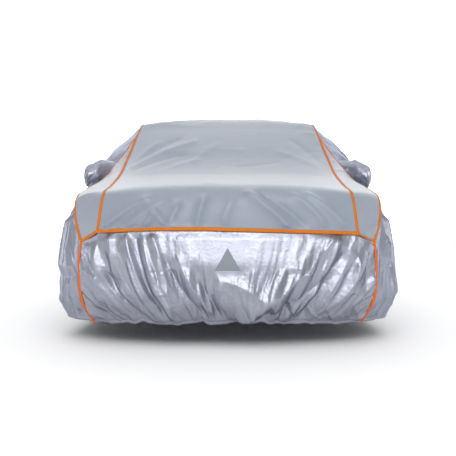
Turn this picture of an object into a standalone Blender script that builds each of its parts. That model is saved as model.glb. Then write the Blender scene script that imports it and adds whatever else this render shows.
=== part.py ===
"""Fitted hail cover for a saloon car, in the shape in which it hangs on the car.

Padded panels lie over the roof, the windows, the bonnet and the boot lid. A thin silver
skirt hangs round them, drawn in under the bumpers and the sills by its hem, and a sewn
pocket on each side takes the door mirror. Orange tape covers every seam.

The tables below are in car coordinates, in metres: x to the side, y back from the nose
and z above the ground. The model's own origin is under the roof, where the car carries it.
"""

import math
from collections import namedtuple

import bmesh
import bpy
from mathutils import Vector

# Cloth and tape
PAD_THICKNESS = 0.005
CLOTH_THICKNESS = 0.002
TAPE_HALF_WIDTH = 0.008
CORNER_TAPE_HALF_WIDTH = 0.0065
TAPE_THICKNESS = 0.002
TAPE_PROUD = 0.0013
SEWING_GAP = 0.0006
RIDGE_MITRE = 0.002
WING_MITRE = 0.001
FLAP_STEP = 0.0025
HEM_WING_LIFT = 0.0006
PAD_TRIM = TAPE_HALF_WIDTH + SEWING_GAP
CORNER_TRIM = CORNER_TAPE_HALF_WIDTH + SEWING_GAP
# How far an edge tape's tip reaches towards the next station beyond its shoulder
TIP_SHARE = 0.8

# Where the roof carries the cover
MOUNT_Y = 2.95
ROOF_Z = 1.460
ORIGIN = Vector((0.0, MOUNT_Y, ROOF_Z - PAD_THICKNESS))

# How finely the cloth is divided
STATION_STEP = 0.20
CENTRE_COLUMNS = 12
SHOULDER_COLUMNS = 3
SKIRT_ROWS = 12
FRONT_COLUMNS = 42
REAR_COLUMNS = 18

# How the padded centre panel rounds off towards its seams, and the shoulders between theirs
CROWN_POWER_Y = 2.4
CROWN_POWER_Z = 3.2
SHOULDER_CROWN = 0.010
SHOULDER_CROWN_START = 0.30
SHOULDER_FULL_WIDTH = 0.12

# Lines across the top of the cover, from the front flap's hem to the rear flap's. Each has a
# point on the centre line, one on the padded centre panel's seam, and one on the edge seam
# that parts the padding from the silver cloth. Over the roof the last two are one seam.
TopLine = namedtuple(
    "TopLine", "name centre_y centre_z seam_x seam_y seam_z edge_x edge_y edge_z"
)
TOP_LINES = [
    TopLine("front hem", 0.020, 0.569, 0.636, 0.100, 0.562, 0.733, 0.220, 0.512),
    TopLine("front flap", 0.018, 0.640, 0.627, 0.110, 0.625, 0.764, 0.265, 0.590),
    TopLine("front lip", 0.032, 0.712, 0.621, 0.132, 0.692, 0.787, 0.340, 0.664),
    TopLine("bonnet edge", 0.078, 0.768, 0.616, 0.182, 0.750, 0.795, 0.405, 0.720),
    TopLine("bonnet front", 0.170, 0.799, 0.619, 0.270, 0.771, 0.798, 0.475, 0.752),
    TopLine("bonnet", 0.550, 0.851, 0.637, 0.570, 0.806, 0.808, 0.650, 0.779),
    TopLine("bonnet back", 1.000, 0.906, 0.661, 1.000, 0.870, 0.813, 1.000, 0.832),
    TopLine("windscreen foot", 1.340, 0.942, 0.678, 1.400, 0.949, 0.802, 1.400, 0.900),
    TopLine("windscreen low", 1.620, 1.040, 0.680, 1.700, 1.053, 0.762, 1.680, 1.014),
    TopLine("windscreen", 1.880, 1.176, 0.667, 1.910, 1.158, 0.703, 1.890, 1.142),
    TopLine("front tip", 2.040, 1.257, 0.659, 2.040, 1.232, 0.678, 2.047, 1.219),
    TopLine("windscreen top", 2.170, 1.318, 0.652, 2.145, 1.289, 0.652, 2.145, 1.289),
    TopLine("roof front", 2.370, 1.407, 0.640, 2.310, 1.370, 0.640, 2.310, 1.370),
    TopLine("roof", 2.600, 1.450, 0.628, 2.590, 1.390, 0.628, 2.590, 1.390),
    TopLine("roof crown", 2.950, 1.460, 0.616, 2.950, 1.398, 0.616, 2.950, 1.398),
    TopLine("roof back", 3.340, 1.436, 0.604, 3.340, 1.374, 0.604, 3.340, 1.374),
    TopLine("rear window top", 3.520, 1.408, 0.600, 3.520, 1.346, 0.600, 3.520, 1.346),
    TopLine("rear tip", 3.620, 1.384, 0.600, 3.620, 1.322, 0.619, 3.615, 1.308),
    TopLine("rear window", 3.900, 1.266, 0.610, 3.890, 1.204, 0.662, 3.880, 1.168),
    TopLine("rear window foot", 4.140, 1.142, 0.625, 4.110, 1.088, 0.735, 4.060, 1.038),
    TopLine("boot", 4.320, 1.082, 0.635, 4.290, 1.034, 0.776, 4.220, 0.974),
    TopLine("boot back", 4.520, 1.058, 0.630, 4.470, 1.012, 0.786, 4.370, 0.938),
    TopLine("boot edge", 4.630, 1.030, 0.622, 4.565, 0.984, 0.778, 4.460, 0.900),
    TopLine("rear flap", 4.676, 0.960, 0.626, 4.612, 0.915, 0.766, 4.525, 0.830),
    TopLine("rear hem", 4.684, 0.790, 0.640, 4.630, 0.778, 0.746, 4.565, 0.735),
]

# The silver side under some of those lines: the belt is where it comes off the glass or the
# wing, the waist is its widest, the sill is where it turns under, and the hem is drawn in.
SideLine = namedtuple("SideLine", "name belt_x belt_z waist_x waist_y hem_x hem_y hem_z")
SIDE_LINES = [
    SideLine("front hem", 0.739, 0.460, 0.741, 0.192, 0.684, 0.335, 0.095),
    SideLine("bonnet edge", 0.822, 0.600, 0.836, 0.350, 0.775, 0.450, 0.102),
    SideLine("bonnet", 0.884, 0.665, 0.914, 0.610, 0.850, 0.650, 0.110),
    SideLine("bonnet back", 0.896, 0.720, 0.927, 1.000, 0.872, 1.000, 0.120),
    SideLine("windscreen foot", 0.899, 0.800, 0.930, 1.400, 0.880, 1.400, 0.122),
    SideLine("windscreen top", 0.896, 0.900, 0.932, 2.120, 0.882, 2.120, 0.124),
    SideLine("roof crown", 0.893, 0.930, 0.932, 2.950, 0.880, 2.950, 0.125),
    SideLine("rear tip", 0.885, 0.950, 0.928, 3.620, 0.876, 3.600, 0.125),
    SideLine("rear window foot", 0.880, 0.880, 0.912, 4.020, 0.860, 3.960, 0.126),
    SideLine("boot", 0.858, 0.800, 0.890, 4.200, 0.838, 4.120, 0.128),
    SideLine("boot edge", 0.816, 0.720, 0.830, 4.420, 0.775, 4.320, 0.134),
    SideLine("rear hem", 0.756, 0.620, 0.765, 4.520, 0.705, 4.420, 0.140),
]
WAIST_Z = 0.400
SILL_Z = 0.225
SILL_INSET = 0.008

# The middle of each end skirt, from the flap's hem down to its own hem
EndPoint = namedtuple("EndPoint", "y z")
FRONT_MIDDLE = [
    EndPoint(0.020, 0.569),
    EndPoint(0.007, 0.470),
    EndPoint(0.000, 0.390),
    EndPoint(0.022, 0.225),
    EndPoint(0.125, 0.112),
]
REAR_MIDDLE = [
    EndPoint(4.684, 0.790),
    EndPoint(4.695, 0.640),
    EndPoint(4.700, 0.480),
    EndPoint(4.672, 0.260),
    EndPoint(4.560, 0.150),
]
END_BOW_POWER = 2.6
FLAP_MATCH_POWER = 1.5

# Main folds of an end skirt: each runs from its head to its foot, bowed sideways, and stands
# out by its height, or in where that is negative
Fold = namedtuple("Fold", "head_x head_z foot_x foot_z bow width height")
FRONT_FOLDS = [
    Fold(-0.665, 0.500, -0.640, 0.200, 0.010, 0.030, 0.010),
    Fold(-0.572, 0.550, -0.560, 0.350, 0.000, 0.032, 0.014),
    Fold(-0.590, 0.370, -0.370, 0.120, -0.040, 0.034, -0.018),
    Fold(-0.530, 0.300, -0.300, 0.115, -0.035, 0.034, 0.016),
    Fold(-0.490, 0.545, -0.380, 0.240, -0.012, 0.032, 0.012),
    Fold(-0.445, 0.550, -0.310, 0.150, -0.020, 0.034, -0.012),
    Fold(-0.365, 0.550, -0.270, 0.170, 0.016, 0.034, 0.013),
    Fold(-0.300, 0.430, -0.115, 0.150, -0.016, 0.034, -0.018),
    Fold(-0.240, 0.440, -0.070, 0.160, -0.014, 0.032, 0.014),
    Fold(-0.160, 0.410, -0.035, 0.150, -0.012, 0.032, -0.016),
    Fold(-0.030, 0.330, 0.180, 0.230, 0.010, 0.036, 0.010),
    Fold(0.500, 0.540, 0.030, 0.130, 0.034, 0.034, 0.020),
    Fold(0.510, 0.480, 0.130, 0.120, 0.030, 0.032, -0.018),
    Fold(0.450, 0.400, 0.230, 0.125, 0.026, 0.034, 0.015),
    Fold(0.530, 0.530, 0.400, 0.240, 0.018, 0.032, 0.013),
    Fold(0.470, 0.340, 0.350, 0.130, 0.020, 0.032, -0.014),
    Fold(0.640, 0.430, 0.480, 0.140, 0.036, 0.034, 0.014),
    Fold(0.690, 0.480, 0.660, 0.180, 0.016, 0.030, -0.010),
]
REAR_FOLDS = [
    Fold(-0.640, 0.700, -0.480, 0.180, 0.030, 0.045, 0.016),
    Fold(-0.560, 0.720, -0.250, 0.170, -0.040, 0.045, -0.016),
    Fold(-0.330, 0.700, -0.160, 0.200, 0.020, 0.045, 0.014),
    Fold(-0.110, 0.640, -0.030, 0.170, 0.010, 0.045, -0.012),
    Fold(0.090, 0.560, 0.020, 0.170, 0.010, 0.045, 0.012),
    Fold(0.340, 0.700, 0.160, 0.180, 0.030, 0.045, 0.015),
    Fold(0.520, 0.720, 0.290, 0.180, 0.030, 0.045, -0.016),
    Fold(0.660, 0.680, 0.520, 0.190, 0.030, 0.045, 0.014),
]
FOLD_END_FADE = 0.060

# Soft pleats of the front flap, given along its hem
Pleat = namedtuple("Pleat", "hem_x lean width height")
FLAP_PLEATS = [
    Pleat(-0.500, 0.9, 0.060, 0.006),
    Pleat(-0.300, 0.1, 0.055, -0.006),
    Pleat(-0.210, -0.3, 0.045, 0.006),
    Pleat(0.010, 0.2, 0.070, 0.005),
    Pleat(0.230, -0.7, 0.050, -0.006),
    Pleat(0.420, -0.6, 0.055, 0.006),
]
FLAP_PLEAT_TOP_Z = 0.770
FLAP_PLEAT_BACK_Y = 0.5
FLAP_PLEAT_HEM_SHARE = 0.25

# The sides hang in long, shallow folds below the belt: waves along the whole side, which
# grow over this share of the way down from the edge seam
Wave = namedtuple("Wave", "count height")
SIDE_WAVES = [Wave(11.0, 0.007), Wave(4.3, 0.005)]
WAVE_START = 0.19
WAVE_SPREAD = 0.62

# Mirror pockets: rings of an oval sleeve from inside the side panel out to its closed tip
Ring = namedtuple("Ring", "x y z half_length half_height")
POCKET_RINGS = [
    Ring(0.735, 1.875, 0.965, 0.125, 0.080),
    Ring(0.820, 1.835, 0.970, 0.130, 0.085),
    Ring(0.880, 1.785, 0.962, 0.130, 0.091),
    Ring(0.925, 1.750, 0.948, 0.118, 0.083),
    Ring(0.950, 1.730, 0.940, 0.102, 0.074),
    Ring(0.962, 1.727, 0.940, 0.078, 0.052),
    Ring(0.966, 1.726, 0.940, 0.035, 0.020),
]
POCKET_SIDES = 18
POCKET_SQUARENESS = 2.8
POCKET_CUT_REACH = 0.060

# How the pocket draws the side cloth out towards it
TENT_Y = 1.850
TENT_Z = 1.080
TENT_LENGTH = 0.230
TENT_HEIGHT = 0.130
TENT_REACH = 0.070
TENT_SPREAD = 0.25

# The ridge in which the side cloth is drawn from the pocket up and back to the roof rail
RIDGE_START_Y = 1.800
RIDGE_START_Z = 1.020
RIDGE_END_Y = 2.700
RIDGE_END_Z = 1.260
RIDGE_REACH = 0.075
RIDGE_WIDTH = 0.130
RIDGE_POWER = 1.2
RIDGE_SPREAD = 0.06

# The plain reflective triangle on the front skirt
TRIANGLE_TOP_Z = 0.484
TRIANGLE_BASE_Z = 0.376
TRIANGLE_WIDTH = 0.122
TRIANGLE_THICKNESS = 0.001
TRIANGLE_CUTS = 5
TRIANGLE_FLAT_REACH = 0.065

Finish = namedtuple("Finish", "colour roughness metallic")
FINISHES = {
    "padding": Finish((0.37, 0.41, 0.46), 0.62, 0.0),
    "silver_cloth": Finish((0.62, 0.63, 0.68), 0.34, 0.75),
    "tape": Finish((0.87, 0.26, 0.02), 0.60, 0.0),
    "reflector": Finish((0.29, 0.33, 0.36), 0.45, 0.0),
}
UP = Vector((0, 0, 1))
FORWARD = Vector((0, -1, 0))


def clear_scene():
    for obj in list(bpy.data.objects):
        bpy.data.objects.remove(obj)


def new_collection(name):
    collection = bpy.data.collections.new(name)
    bpy.context.scene.collection.children.link(collection)
    return collection


def make_materials():
    materials = {}
    for name, finish in FINISHES.items():
        material = bpy.data.materials.new(name)
        material.use_nodes = True
        shader = material.node_tree.nodes["Principled BSDF"]
        shader.inputs["Base Color"].default_value = (*finish.colour, 1.0)
        shader.inputs["Roughness"].default_value = finish.roughness
        shader.inputs["Metallic"].default_value = finish.metallic
        materials[name] = material
    return materials


# ---- curves and grids ----

def smooth_step(u):
    u = min(max(u, 0.0), 1.0)
    return u * u * (3 - 2 * u)


def mirrored(point, side):
    return Vector((point.x * side, point.y, point.z))


def chord_knots(points):
    """Running length along a list of points."""
    knots = [0.0]
    for before, after in zip(points, points[1:]):
        knots.append(knots[-1] + (after - before).length)
    return knots


def curve_at(points, knots, s):
    """The point at s on a smooth curve through the points, whose knots are given."""
    last = len(points) - 1
    i = 0
    while i < last - 1 and s > knots[i + 1]:
        i += 1
    span = knots[i + 1] - knots[i]
    u = (s - knots[i]) / span

    def slope(j):
        low, high = max(j - 1, 0), min(j + 1, last)
        return (points[high] - points[low]) / (knots[high] - knots[low]) * span

    return (
        points[i] * (2 * u**3 - 3 * u**2 + 1)
        + slope(i) * (u**3 - 2 * u**2 + u)
        + points[i + 1] * (3 * u**2 - 2 * u**3)
        + slope(i + 1) * (u**3 - u**2)
    )


def even_line(points, count):
    """count + 1 points along the smooth curve through a few, evenly apart in its length."""
    knots = chord_knots(points)
    return [curve_at(points, knots, knots[-1] * i / count) for i in range(count + 1)]


def column(rows, i):
    return [row[i] for row in rows]


def flipped(rows):
    return [list(line) for line in zip(*rows)]


def at_x(line, x):
    """The point at a distance x to the side on a polyline that runs from left to right."""
    i = 0
    while i < len(line) - 2 and x > line[i + 1].x:
        i += 1
    before, after = line[i], line[i + 1]
    u = (x - before.x) / (after.x - before.x)
    return before.lerp(after, min(max(u, 0.0), 1.0))


def draw_in(border, inner, k, distance):
    """The step from a border line into its panel that ends that far from the line."""
    last = len(border) - 1
    along = (border[min(k + 1, last)] - border[max(k - 1, 0)]).normalized()
    away = (inner[k] - border[k]).normalized()
    slant = (away - along * away.dot(along)).length
    return away * distance / slant


def drawn_in(rows, left, right, reach=1):
    """The grid drawn in from its first and last columns by those distances. The move fades
    to nothing over a number of columns, the reach."""
    made = []
    last = len(rows[0]) - 1
    for k, row in enumerate(rows):
        start = draw_in(column(rows, 0), column(rows, 1), k, left)
        end = draw_in(column(rows, -1), column(rows, -2), k, right)
        line = []
        for i, point in enumerate(row):
            near_start = max(0.0, 1 - i / reach)
            near_end = max(0.0, 1 - (last - i) / reach)
            line.append(point + start * near_start + end * near_end)
        made.append(line)
    return made


def trimmed(rows, left=0.0, right=0.0, first=0.0, last=0.0, reach=1):
    """The grid drawn in from all four of its borders."""
    return flipped(drawn_in(flipped(drawn_in(rows, left, right, reach)), first, last))


def grid_normals(rows):
    """The direction square to a grid at each of its points, from its neighbours."""
    found = []
    last_row, last = len(rows) - 1, len(rows[0]) - 1
    for j, row in enumerate(rows):
        normals = []
        for i in range(last + 1):
            along = row[min(i + 1, last)] - row[max(i - 1, 0)]
            down = rows[min(j + 1, last_row)][i] - rows[max(j - 1, 0)][i]
            normals.append(along.cross(down).normalized())
        found.append(normals)
    return found


def relieved(rows, relief, outward):
    """The grid moved out by relief(point), which fades at its seams but not at its last row."""
    normals = grid_normals(rows)
    last_row, last = len(rows) - 1, len(rows[0]) - 1
    sign = 1 if normals[last_row // 2][last // 2].dot(outward) > 0 else -1
    moved = []
    for j, row in enumerate(rows):
        line = []
        for i, point in enumerate(row):
            share = min(1.0, min(i, last - i, j) / 2)
            line.append(point + normals[j][i] * sign * relief(point) * share)
        moved.append(line)
    return moved


# ---- the cover's lines, from the tables ----

class Lines:
    """The tables as curves along the car, all read with one length s from front to rear."""

    def __init__(self):
        self.centre = [Vector((0, t.centre_y, t.centre_z)) for t in TOP_LINES]
        self.seam = [Vector((t.seam_x, t.seam_y, t.seam_z)) for t in TOP_LINES]
        self.edge = [Vector((t.edge_x, t.edge_y, t.edge_z)) for t in TOP_LINES]
        middle = [(a + b) / 2 for a, b in zip(self.centre, self.seam)]
        self.knots = chord_knots(middle)
        self.s_of = {t.name: s for t, s in zip(TOP_LINES, self.knots)}
        self.side_knots = [self.s_of[t.name] for t in SIDE_LINES]
        self.belt = [Vector((t.belt_x, 0, t.belt_z)) for t in SIDE_LINES]
        self.waist = [Vector((t.waist_x, t.waist_y, WAIST_Z)) for t in SIDE_LINES]
        self.hem = [Vector((t.hem_x, t.hem_y, t.hem_z)) for t in SIDE_LINES]
        self.stations = []
        for start, end in zip(self.knots, self.knots[1:]):
            steps = max(1, math.ceil((end - start) / STATION_STEP))
            self.stations += [start + (end - start) * i / steps for i in range(steps)]
        self.stations.append(self.knots[-1])
        self.front_tip = self.stations.index(self.s_of["front tip"])
        self.rear_tip = self.stations.index(self.s_of["rear tip"])

    def span(self, end):
        """The stations along an end's shoulder panels."""
        if end.at == 0:
            return range(0, self.front_tip + 1)
        return range(self.rear_tip, len(self.stations))

    def top(self, rail, s):
        return curve_at(rail, self.knots, s)

    def side_line(self, s):
        """The side's own line down from the edge seam to the hem, as a list of points."""
        top = self.top(self.edge, s)
        belt = curve_at(self.belt, self.side_knots, s)
        waist = curve_at(self.waist, self.side_knots, s)
        hem = curve_at(self.hem, self.side_knots, s)
        belt.y = top.y + (waist.y - top.y) * (top.z - belt.z) / (top.z - waist.z)
        share = (waist.z - SILL_Z) / (waist.z - hem.z)
        sill_y = waist.y + (hem.y - waist.y) * share**3
        sill = Vector((waist.x - SILL_INSET, sill_y, SILL_Z))
        return even_line([top, belt, waist, sill, hem], SKIRT_ROWS)


def centre_grid(lines):
    """Rows across the padded centre panel, from its left seam to its right one."""
    rows = []
    for s in lines.stations:
        centre, seam = lines.top(lines.centre, s), lines.top(lines.seam, s)
        row = []
        for i in range(CENTRE_COLUMNS + 1):
            v = 2 * i / CENTRE_COLUMNS - 1
            y = centre.y + (seam.y - centre.y) * abs(v) ** CROWN_POWER_Y
            z = centre.z + (seam.z - centre.z) * abs(v) ** CROWN_POWER_Z
            row.append(Vector((v * seam.x, y, z)))
        rows.append(row)
    return rows


def shoulder_grid(lines, stations, side):
    """Rows across a padded shoulder panel, from the centre panel's seam to the edge seam."""
    outward = Vector((1, 0, 1)).normalized()
    rows = []
    for s in stations:
        seam, edge = lines.top(lines.seam, s), lines.top(lines.edge, s)
        from_hem = min(s, lines.stations[-1] - s)
        height = SHOULDER_CROWN * smooth_step(from_hem / SHOULDER_CROWN_START)
        height *= min(1.0, (edge - seam).length / SHOULDER_FULL_WIDTH)
        row = []
        for i in range(SHOULDER_COLUMNS + 1):
            v = i / SHOULDER_COLUMNS
            row.append(mirrored(seam.lerp(edge, v) + outward * height * 4 * v * (1 - v), side))
        rows.append(row)
    return rows


def tent(point):
    """How far a mirror pocket draws the side cloth out at a point."""
    along = (point.y - TENT_Y) / TENT_LENGTH
    up = (point.z - TENT_Z) / TENT_HEIGHT
    return TENT_REACH * math.exp(-(along**2) - up**2)


def ridge(point):
    """How far out the cloth between the pocket and the roof rail stands at a point."""
    run_y, run_z = RIDGE_END_Y - RIDGE_START_Y, RIDGE_END_Z - RIDGE_START_Z
    off_y, off_z = point.y - RIDGE_START_Y, point.z - RIDGE_START_Z
    length = math.hypot(run_y, run_z)
    along = min(max((off_y * run_y + off_z * run_z) / length**2, 0.0), 1.0)
    across = (off_y * run_z - off_z * run_y) / length
    height = RIDGE_REACH * math.sin(math.pi * along) ** RIDGE_POWER
    return height * math.exp(-((across / RIDGE_WIDTH) ** 2))


def side_grid(lines, side):
    """Rows along the silver side panel, from its front corner to its rear one."""
    total = lines.stations[-1]
    columns = []
    for s in lines.stations:
        along = s / total
        ends = math.sin(math.pi * along)
        swing = sum(w.height * math.sin(2 * math.pi * w.count * along + side) for w in SIDE_WAVES)
        line = []
        for i, point in enumerate(lines.side_line(s)):
            down = i / SKIRT_ROWS
            out = tent(point) * smooth_step(down / TENT_SPREAD)
            out += ridge(point) * smooth_step(down / RIDGE_SPREAD)
            out += swing * ends * smooth_step((down - WAVE_START) / WAVE_SPREAD)
            line.append(mirrored(point + Vector((out, 0, 0)), side))
        columns.append(line)
    return flipped(columns)


def hem_point(lines, s, x):
    """The point at a distance x to the side on a flap's hem."""
    centre, seam, edge = (lines.top(rail, s) for rail in (lines.centre, lines.seam, lines.edge))
    v = abs(x) / seam.x
    if v <= 1:
        y = centre.y + (seam.y - centre.y) * v**CROWN_POWER_Y
        z = centre.z + (seam.z - centre.z) * v**CROWN_POWER_Z
        return Vector((x, y, z))
    point = seam.lerp(edge, (abs(x) - seam.x) / (edge.x - seam.x))
    return mirrored(point, math.copysign(1, x))


def end_grid(lines, s, middle, corner, columns):
    """Rows of an end skirt between its two corner seams, from the flap's hem down."""
    seam_x, edge_x = lines.top(lines.seam, s).x, lines.top(lines.edge, s).x
    half = columns // 2
    across = [seam_x * i / half for i in range(half)]
    wing = edge_x - seam_x
    across += [seam_x + wing * i / SHOULDER_COLUMNS for i in range(SHOULDER_COLUMNS + 1)]
    places = [-x / edge_x for x in reversed(across[1:])] + [x / edge_x for x in across]
    middle_line = even_line([Vector((0, p.y, p.z)) for p in middle], SKIRT_ROWS)
    rows = []
    for j, (inner, outer) in enumerate(zip(middle_line, corner)):
        row = []
        for v in places:
            bow = abs(v) ** END_BOW_POWER
            point = Vector((v * outer.x, *(inner.lerp(outer, bow).yz)))
            top = Vector((v * corner[0].x, *(middle_line[0].lerp(corner[0], bow).yz)))
            hung = hem_point(lines, s, v * edge_x) - top
            row.append(point + hung * (1 - j / SKIRT_ROWS) ** FLAP_MATCH_POWER)
        rows.append(row)
    return rows


# ---- relief ----

def fold_height(folds, x, z):
    """The sum of the folds' relief at a place on an end skirt."""
    total = 0.0
    for fold in folds:
        head = Vector((fold.head_x, fold.head_z))
        run = Vector((fold.foot_x, fold.foot_z)) - head
        offset = Vector((x, z)) - head
        u = offset.dot(run) / run.length_squared
        across = (run.x * offset.y - run.y * offset.x) / run.length
        across -= fold.bow * 4 * u * (1 - u)
        ends = smooth_step(u * run.length / FOLD_END_FADE + 0.5)
        ends *= smooth_step((1 - u) * run.length / FOLD_END_FADE + 0.5)
        total += fold.height * ends * math.exp(-((across / fold.width) ** 2))
    return total


def off_triangle(x, z):
    """0 on the reflective triangle, where the cloth lies flat, growing to 1 round it."""
    distance = math.hypot(x, z - (TRIANGLE_TOP_Z + TRIANGLE_BASE_Z) / 2)
    return smooth_step((distance - TRIANGLE_WIDTH / 2) / TRIANGLE_FLAT_REACH)


def front_relief(point):
    return fold_height(FRONT_FOLDS, point.x, point.z) * off_triangle(point.x, point.z)


def rear_relief(point):
    return fold_height(REAR_FOLDS, point.x, point.z)


def flap_relief(point):
    """The front flap's pleats, which lean as they climb."""
    hem_z = TOP_LINES[0].centre_z
    climb = (point.z - hem_z) / (FLAP_PLEAT_TOP_Z - hem_z)
    if point.y > FLAP_PLEAT_BACK_Y or not 0 <= climb <= 1:
        return 0.0
    total = 0.0
    for pleat in FLAP_PLEATS:
        across = point.x - pleat.hem_x - pleat.lean * (point.z - hem_z)
        total += pleat.height * math.exp(-((across / pleat.width) ** 2))
    return total * math.sin(math.pi * min(1.0, climb + FLAP_PLEAT_HEM_SHARE)) ** 2


# ---- pieces ----

def sheet(name, rows, thickness, outward, slot, kit):
    """Cloth on a grid of points, thickened inwards from its outer face."""
    last_row, last = len(rows) - 1, len(rows[0]) - 1
    bm = bmesh.new()
    bmesh.ops.create_grid(bm, x_segments=last, y_segments=last_row, size=1)
    for vert in bm.verts:
        i = round((vert.co.x + 1) / 2 * last)
        j = round((vert.co.y + 1) / 2 * last_row)
        vert.co = rows[j][i] - ORIGIN
    facing = Vector()
    for face in bm.faces:
        face.normal_update()
        facing += face.normal * face.calc_area()
    if facing.dot(outward) < 0:
        bmesh.ops.reverse_faces(bm, faces=bm.faces)
    mesh = bpy.data.meshes.new(name)
    bm.to_mesh(mesh)
    bm.free()
    mesh.shade_smooth()
    mesh.materials.append(kit[slot])
    obj = bpy.data.objects.new(name, mesh)
    kit["cover"].objects.link(obj)
    thicken(obj, thickness)
    return obj


def thicken(obj, thickness):
    wall = obj.modifiers.new("thickness", "SOLIDIFY")
    wall.thickness = thickness
    wall.offset = -1.0
    wall.use_even_offset = True


def tape(name, ridge, left, right, outward, kit):
    """Tape along a seam: from one panel's trimmed border, over the seam, to the other's."""
    sections = []
    for k, seam in enumerate(ridge):
        wing_a = left[k] + draw_in(left, ridge, k, SEWING_GAP)
        wing_b = right[k] + draw_in(right, ridge, k, SEWING_GAP)
        sections.append([wing_a, seam.copy(), wing_b])
    for end, near in ((0, 1), (-1, -2)):
        step = (sections[near][1] - sections[end][1]).normalized()
        for i, amount in enumerate((WING_MITRE, RIDGE_MITRE, WING_MITRE)):
            sections[end][i] += step * amount
    normals = grid_normals(sections)
    sign = 1 if normals[len(ridge) // 2][1].dot(outward) > 0 else -1
    raised = []
    for section, directions in zip(sections, normals):
        raised.append([p + n * sign * TAPE_PROUD for p, n in zip(section, directions)])
    return sheet(name, raised, TAPE_THICKNESS, outward, "tape", kit)


def pocket_ring(ring, side, grow=0.0):
    """Points round a mirror pocket at one ring: an oval with flattened sides."""
    points = []
    for i in range(POCKET_SIDES):
        angle = 2 * math.pi * i / POCKET_SIDES
        c, s = math.cos(angle), math.sin(angle)
        power = POCKET_SQUARENESS
        reach = (abs(c) ** power + abs(s) ** power) ** (-1 / power)
        y = ring.y + (ring.half_length + grow) * c * reach
        z = ring.z + (ring.half_height + grow) * s * reach
        points.append(Vector((ring.x * side, y, z)) - ORIGIN)
    return points


def ring_skin(name, rings, root_closed, collection):
    """A skin over rings of points, closed at its tip, and at its root too if asked."""
    bm = bmesh.new()
    loops = [[bm.verts.new(p) for p in ring] for ring in rings]
    for near, far in zip(loops, loops[1:]):
        for i, vert in enumerate(near):
            j = (i + 1) % len(near)
            bm.faces.new((vert, near[j], far[j], far[i]))
    bm.faces.new(loops[-1])
    if root_closed:
        bm.faces.new(loops[0])
    bmesh.ops.recalc_face_normals(bm, faces=bm.faces)
    mesh = bpy.data.meshes.new(name)
    bm.to_mesh(mesh)
    bm.free()
    obj = bpy.data.objects.new(name, mesh)
    collection.objects.link(obj)
    return obj


def make_pocket(word, side, kit):
    """A mirror pocket, and the cutter of the hole in the side panel that it is sewn through."""
    rings = [pocket_ring(r, side) for r in POCKET_RINGS]
    pocket = ring_skin(f"mirror_pocket_{word}", rings, False, kit["cover"])
    if pocket.data.polygons[-1].normal.x * side < 0:
        pocket.data.flip_normals()
    pocket.data.shade_smooth()
    pocket.data.materials.append(kit["silver_cloth"])
    thicken(pocket, CLOTH_THICKNESS)
    root = POCKET_RINGS[0]
    deeper = root._replace(x=root.x - POCKET_CUT_REACH)
    grown = [pocket_ring(r, side, SEWING_GAP) for r in [deeper, *POCKET_RINGS[:-1]]]
    cutter = ring_skin(f"pocket_cutter_{word}", grown, True, kit["cutters"])
    cutter.hide_render = True
    cutter.display_type = "WIRE"
    return cutter


def make_triangle(skirt, kit):
    """The reflective triangle, laid on the flat middle of the front skirt."""
    height = TRIANGLE_TOP_Z - TRIANGLE_BASE_Z
    corners = [(0, TRIANGLE_TOP_Z)]
    corners += [(x * TRIANGLE_WIDTH / 2, TRIANGLE_BASE_Z) for x in (-1, 1)]
    bm = bmesh.new()
    bmesh.ops.create_circle(bm, cap_ends=True, segments=3, radius=height)
    for vert, (x, z) in zip(bm.verts, corners):
        vert.co = Vector((x, -height, z)) - ORIGIN
    bmesh.ops.subdivide_edges(bm, edges=bm.edges, cuts=TRIANGLE_CUTS, use_grid_fill=True)
    bmesh.ops.triangulate(bm, faces=bm.faces)
    if sum(face.normal.y for face in bm.faces) > 0:
        bmesh.ops.reverse_faces(bm, faces=bm.faces)
    mesh = bpy.data.meshes.new("reflective_patch")
    bm.to_mesh(mesh)
    bm.free()
    mesh.materials.append(kit["reflector"])
    obj = bpy.data.objects.new("reflective_patch", mesh)
    kit["cover"].objects.link(obj)
    lay = obj.modifiers.new("laid_on_skirt", "SHRINKWRAP")
    lay.target = skirt
    lay.wrap_method = "PROJECT"
    lay.use_project_y = True
    lay.use_negative_direction = False
    lay.use_positive_direction = True
    lay.offset = TRIANGLE_THICKNESS + 2 * SEWING_GAP
    thicken(obj, TRIANGLE_THICKNESS)


class Side:
    """One side of the cover: its panel's grid, and the borders that its tapes are sewn to."""

    def __init__(self, word, sign, lines, centre, centre_cut):
        self.word = word
        self.sign = sign
        self.outward = Vector((sign, 0, 0))
        self.grid = side_grid(lines, sign)
        self.cut = trimmed(self.grid, CORNER_TRIM, CORNER_TRIM, PAD_TRIM, 0.0)
        self.centre_column = 0 if sign < 0 else CENTRE_COLUMNS
        self.seam = column(centre, self.centre_column)
        self.centre_ridge = list(self.seam)
        self.centre_border = column(centre_cut, self.centre_column)
        self.outer_border = list(self.cut[0])
        self.shoulders = {}
        self.flap_edges = {}


# The two ends of the cover: where each stands in a list, and how its skirt is made
End = namedtuple("End", "name at near facing middle relief columns")
ENDS = [
    End("front", 0, 1, FORWARD, FRONT_MIDDLE, front_relief, FRONT_COLUMNS),
    End("rear", -1, -2, -FORWARD, REAR_MIDDLE, rear_relief, REAR_COLUMNS),
]


def make_end_skirt(end, corner, lines, kit):
    """An end skirt, tucked a step behind its flap. Gives the skirt and its trimmed grid."""
    rows = end_grid(lines, lines.stations[end.at], end.middle, corner, end.columns)
    cut = trimmed(relieved(rows, end.relief, end.facing), CORNER_TRIM, CORNER_TRIM, PAD_TRIM)
    for i in range(2, len(cut[0]) - 2):
        cut[0][i] = cut[0][i] - end.facing * FLAP_STEP
    skirt = sheet(f"{end.name}_skirt", cut, CLOTH_THICKNESS, end.facing, "silver_cloth", kit)
    return skirt, cut


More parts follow.
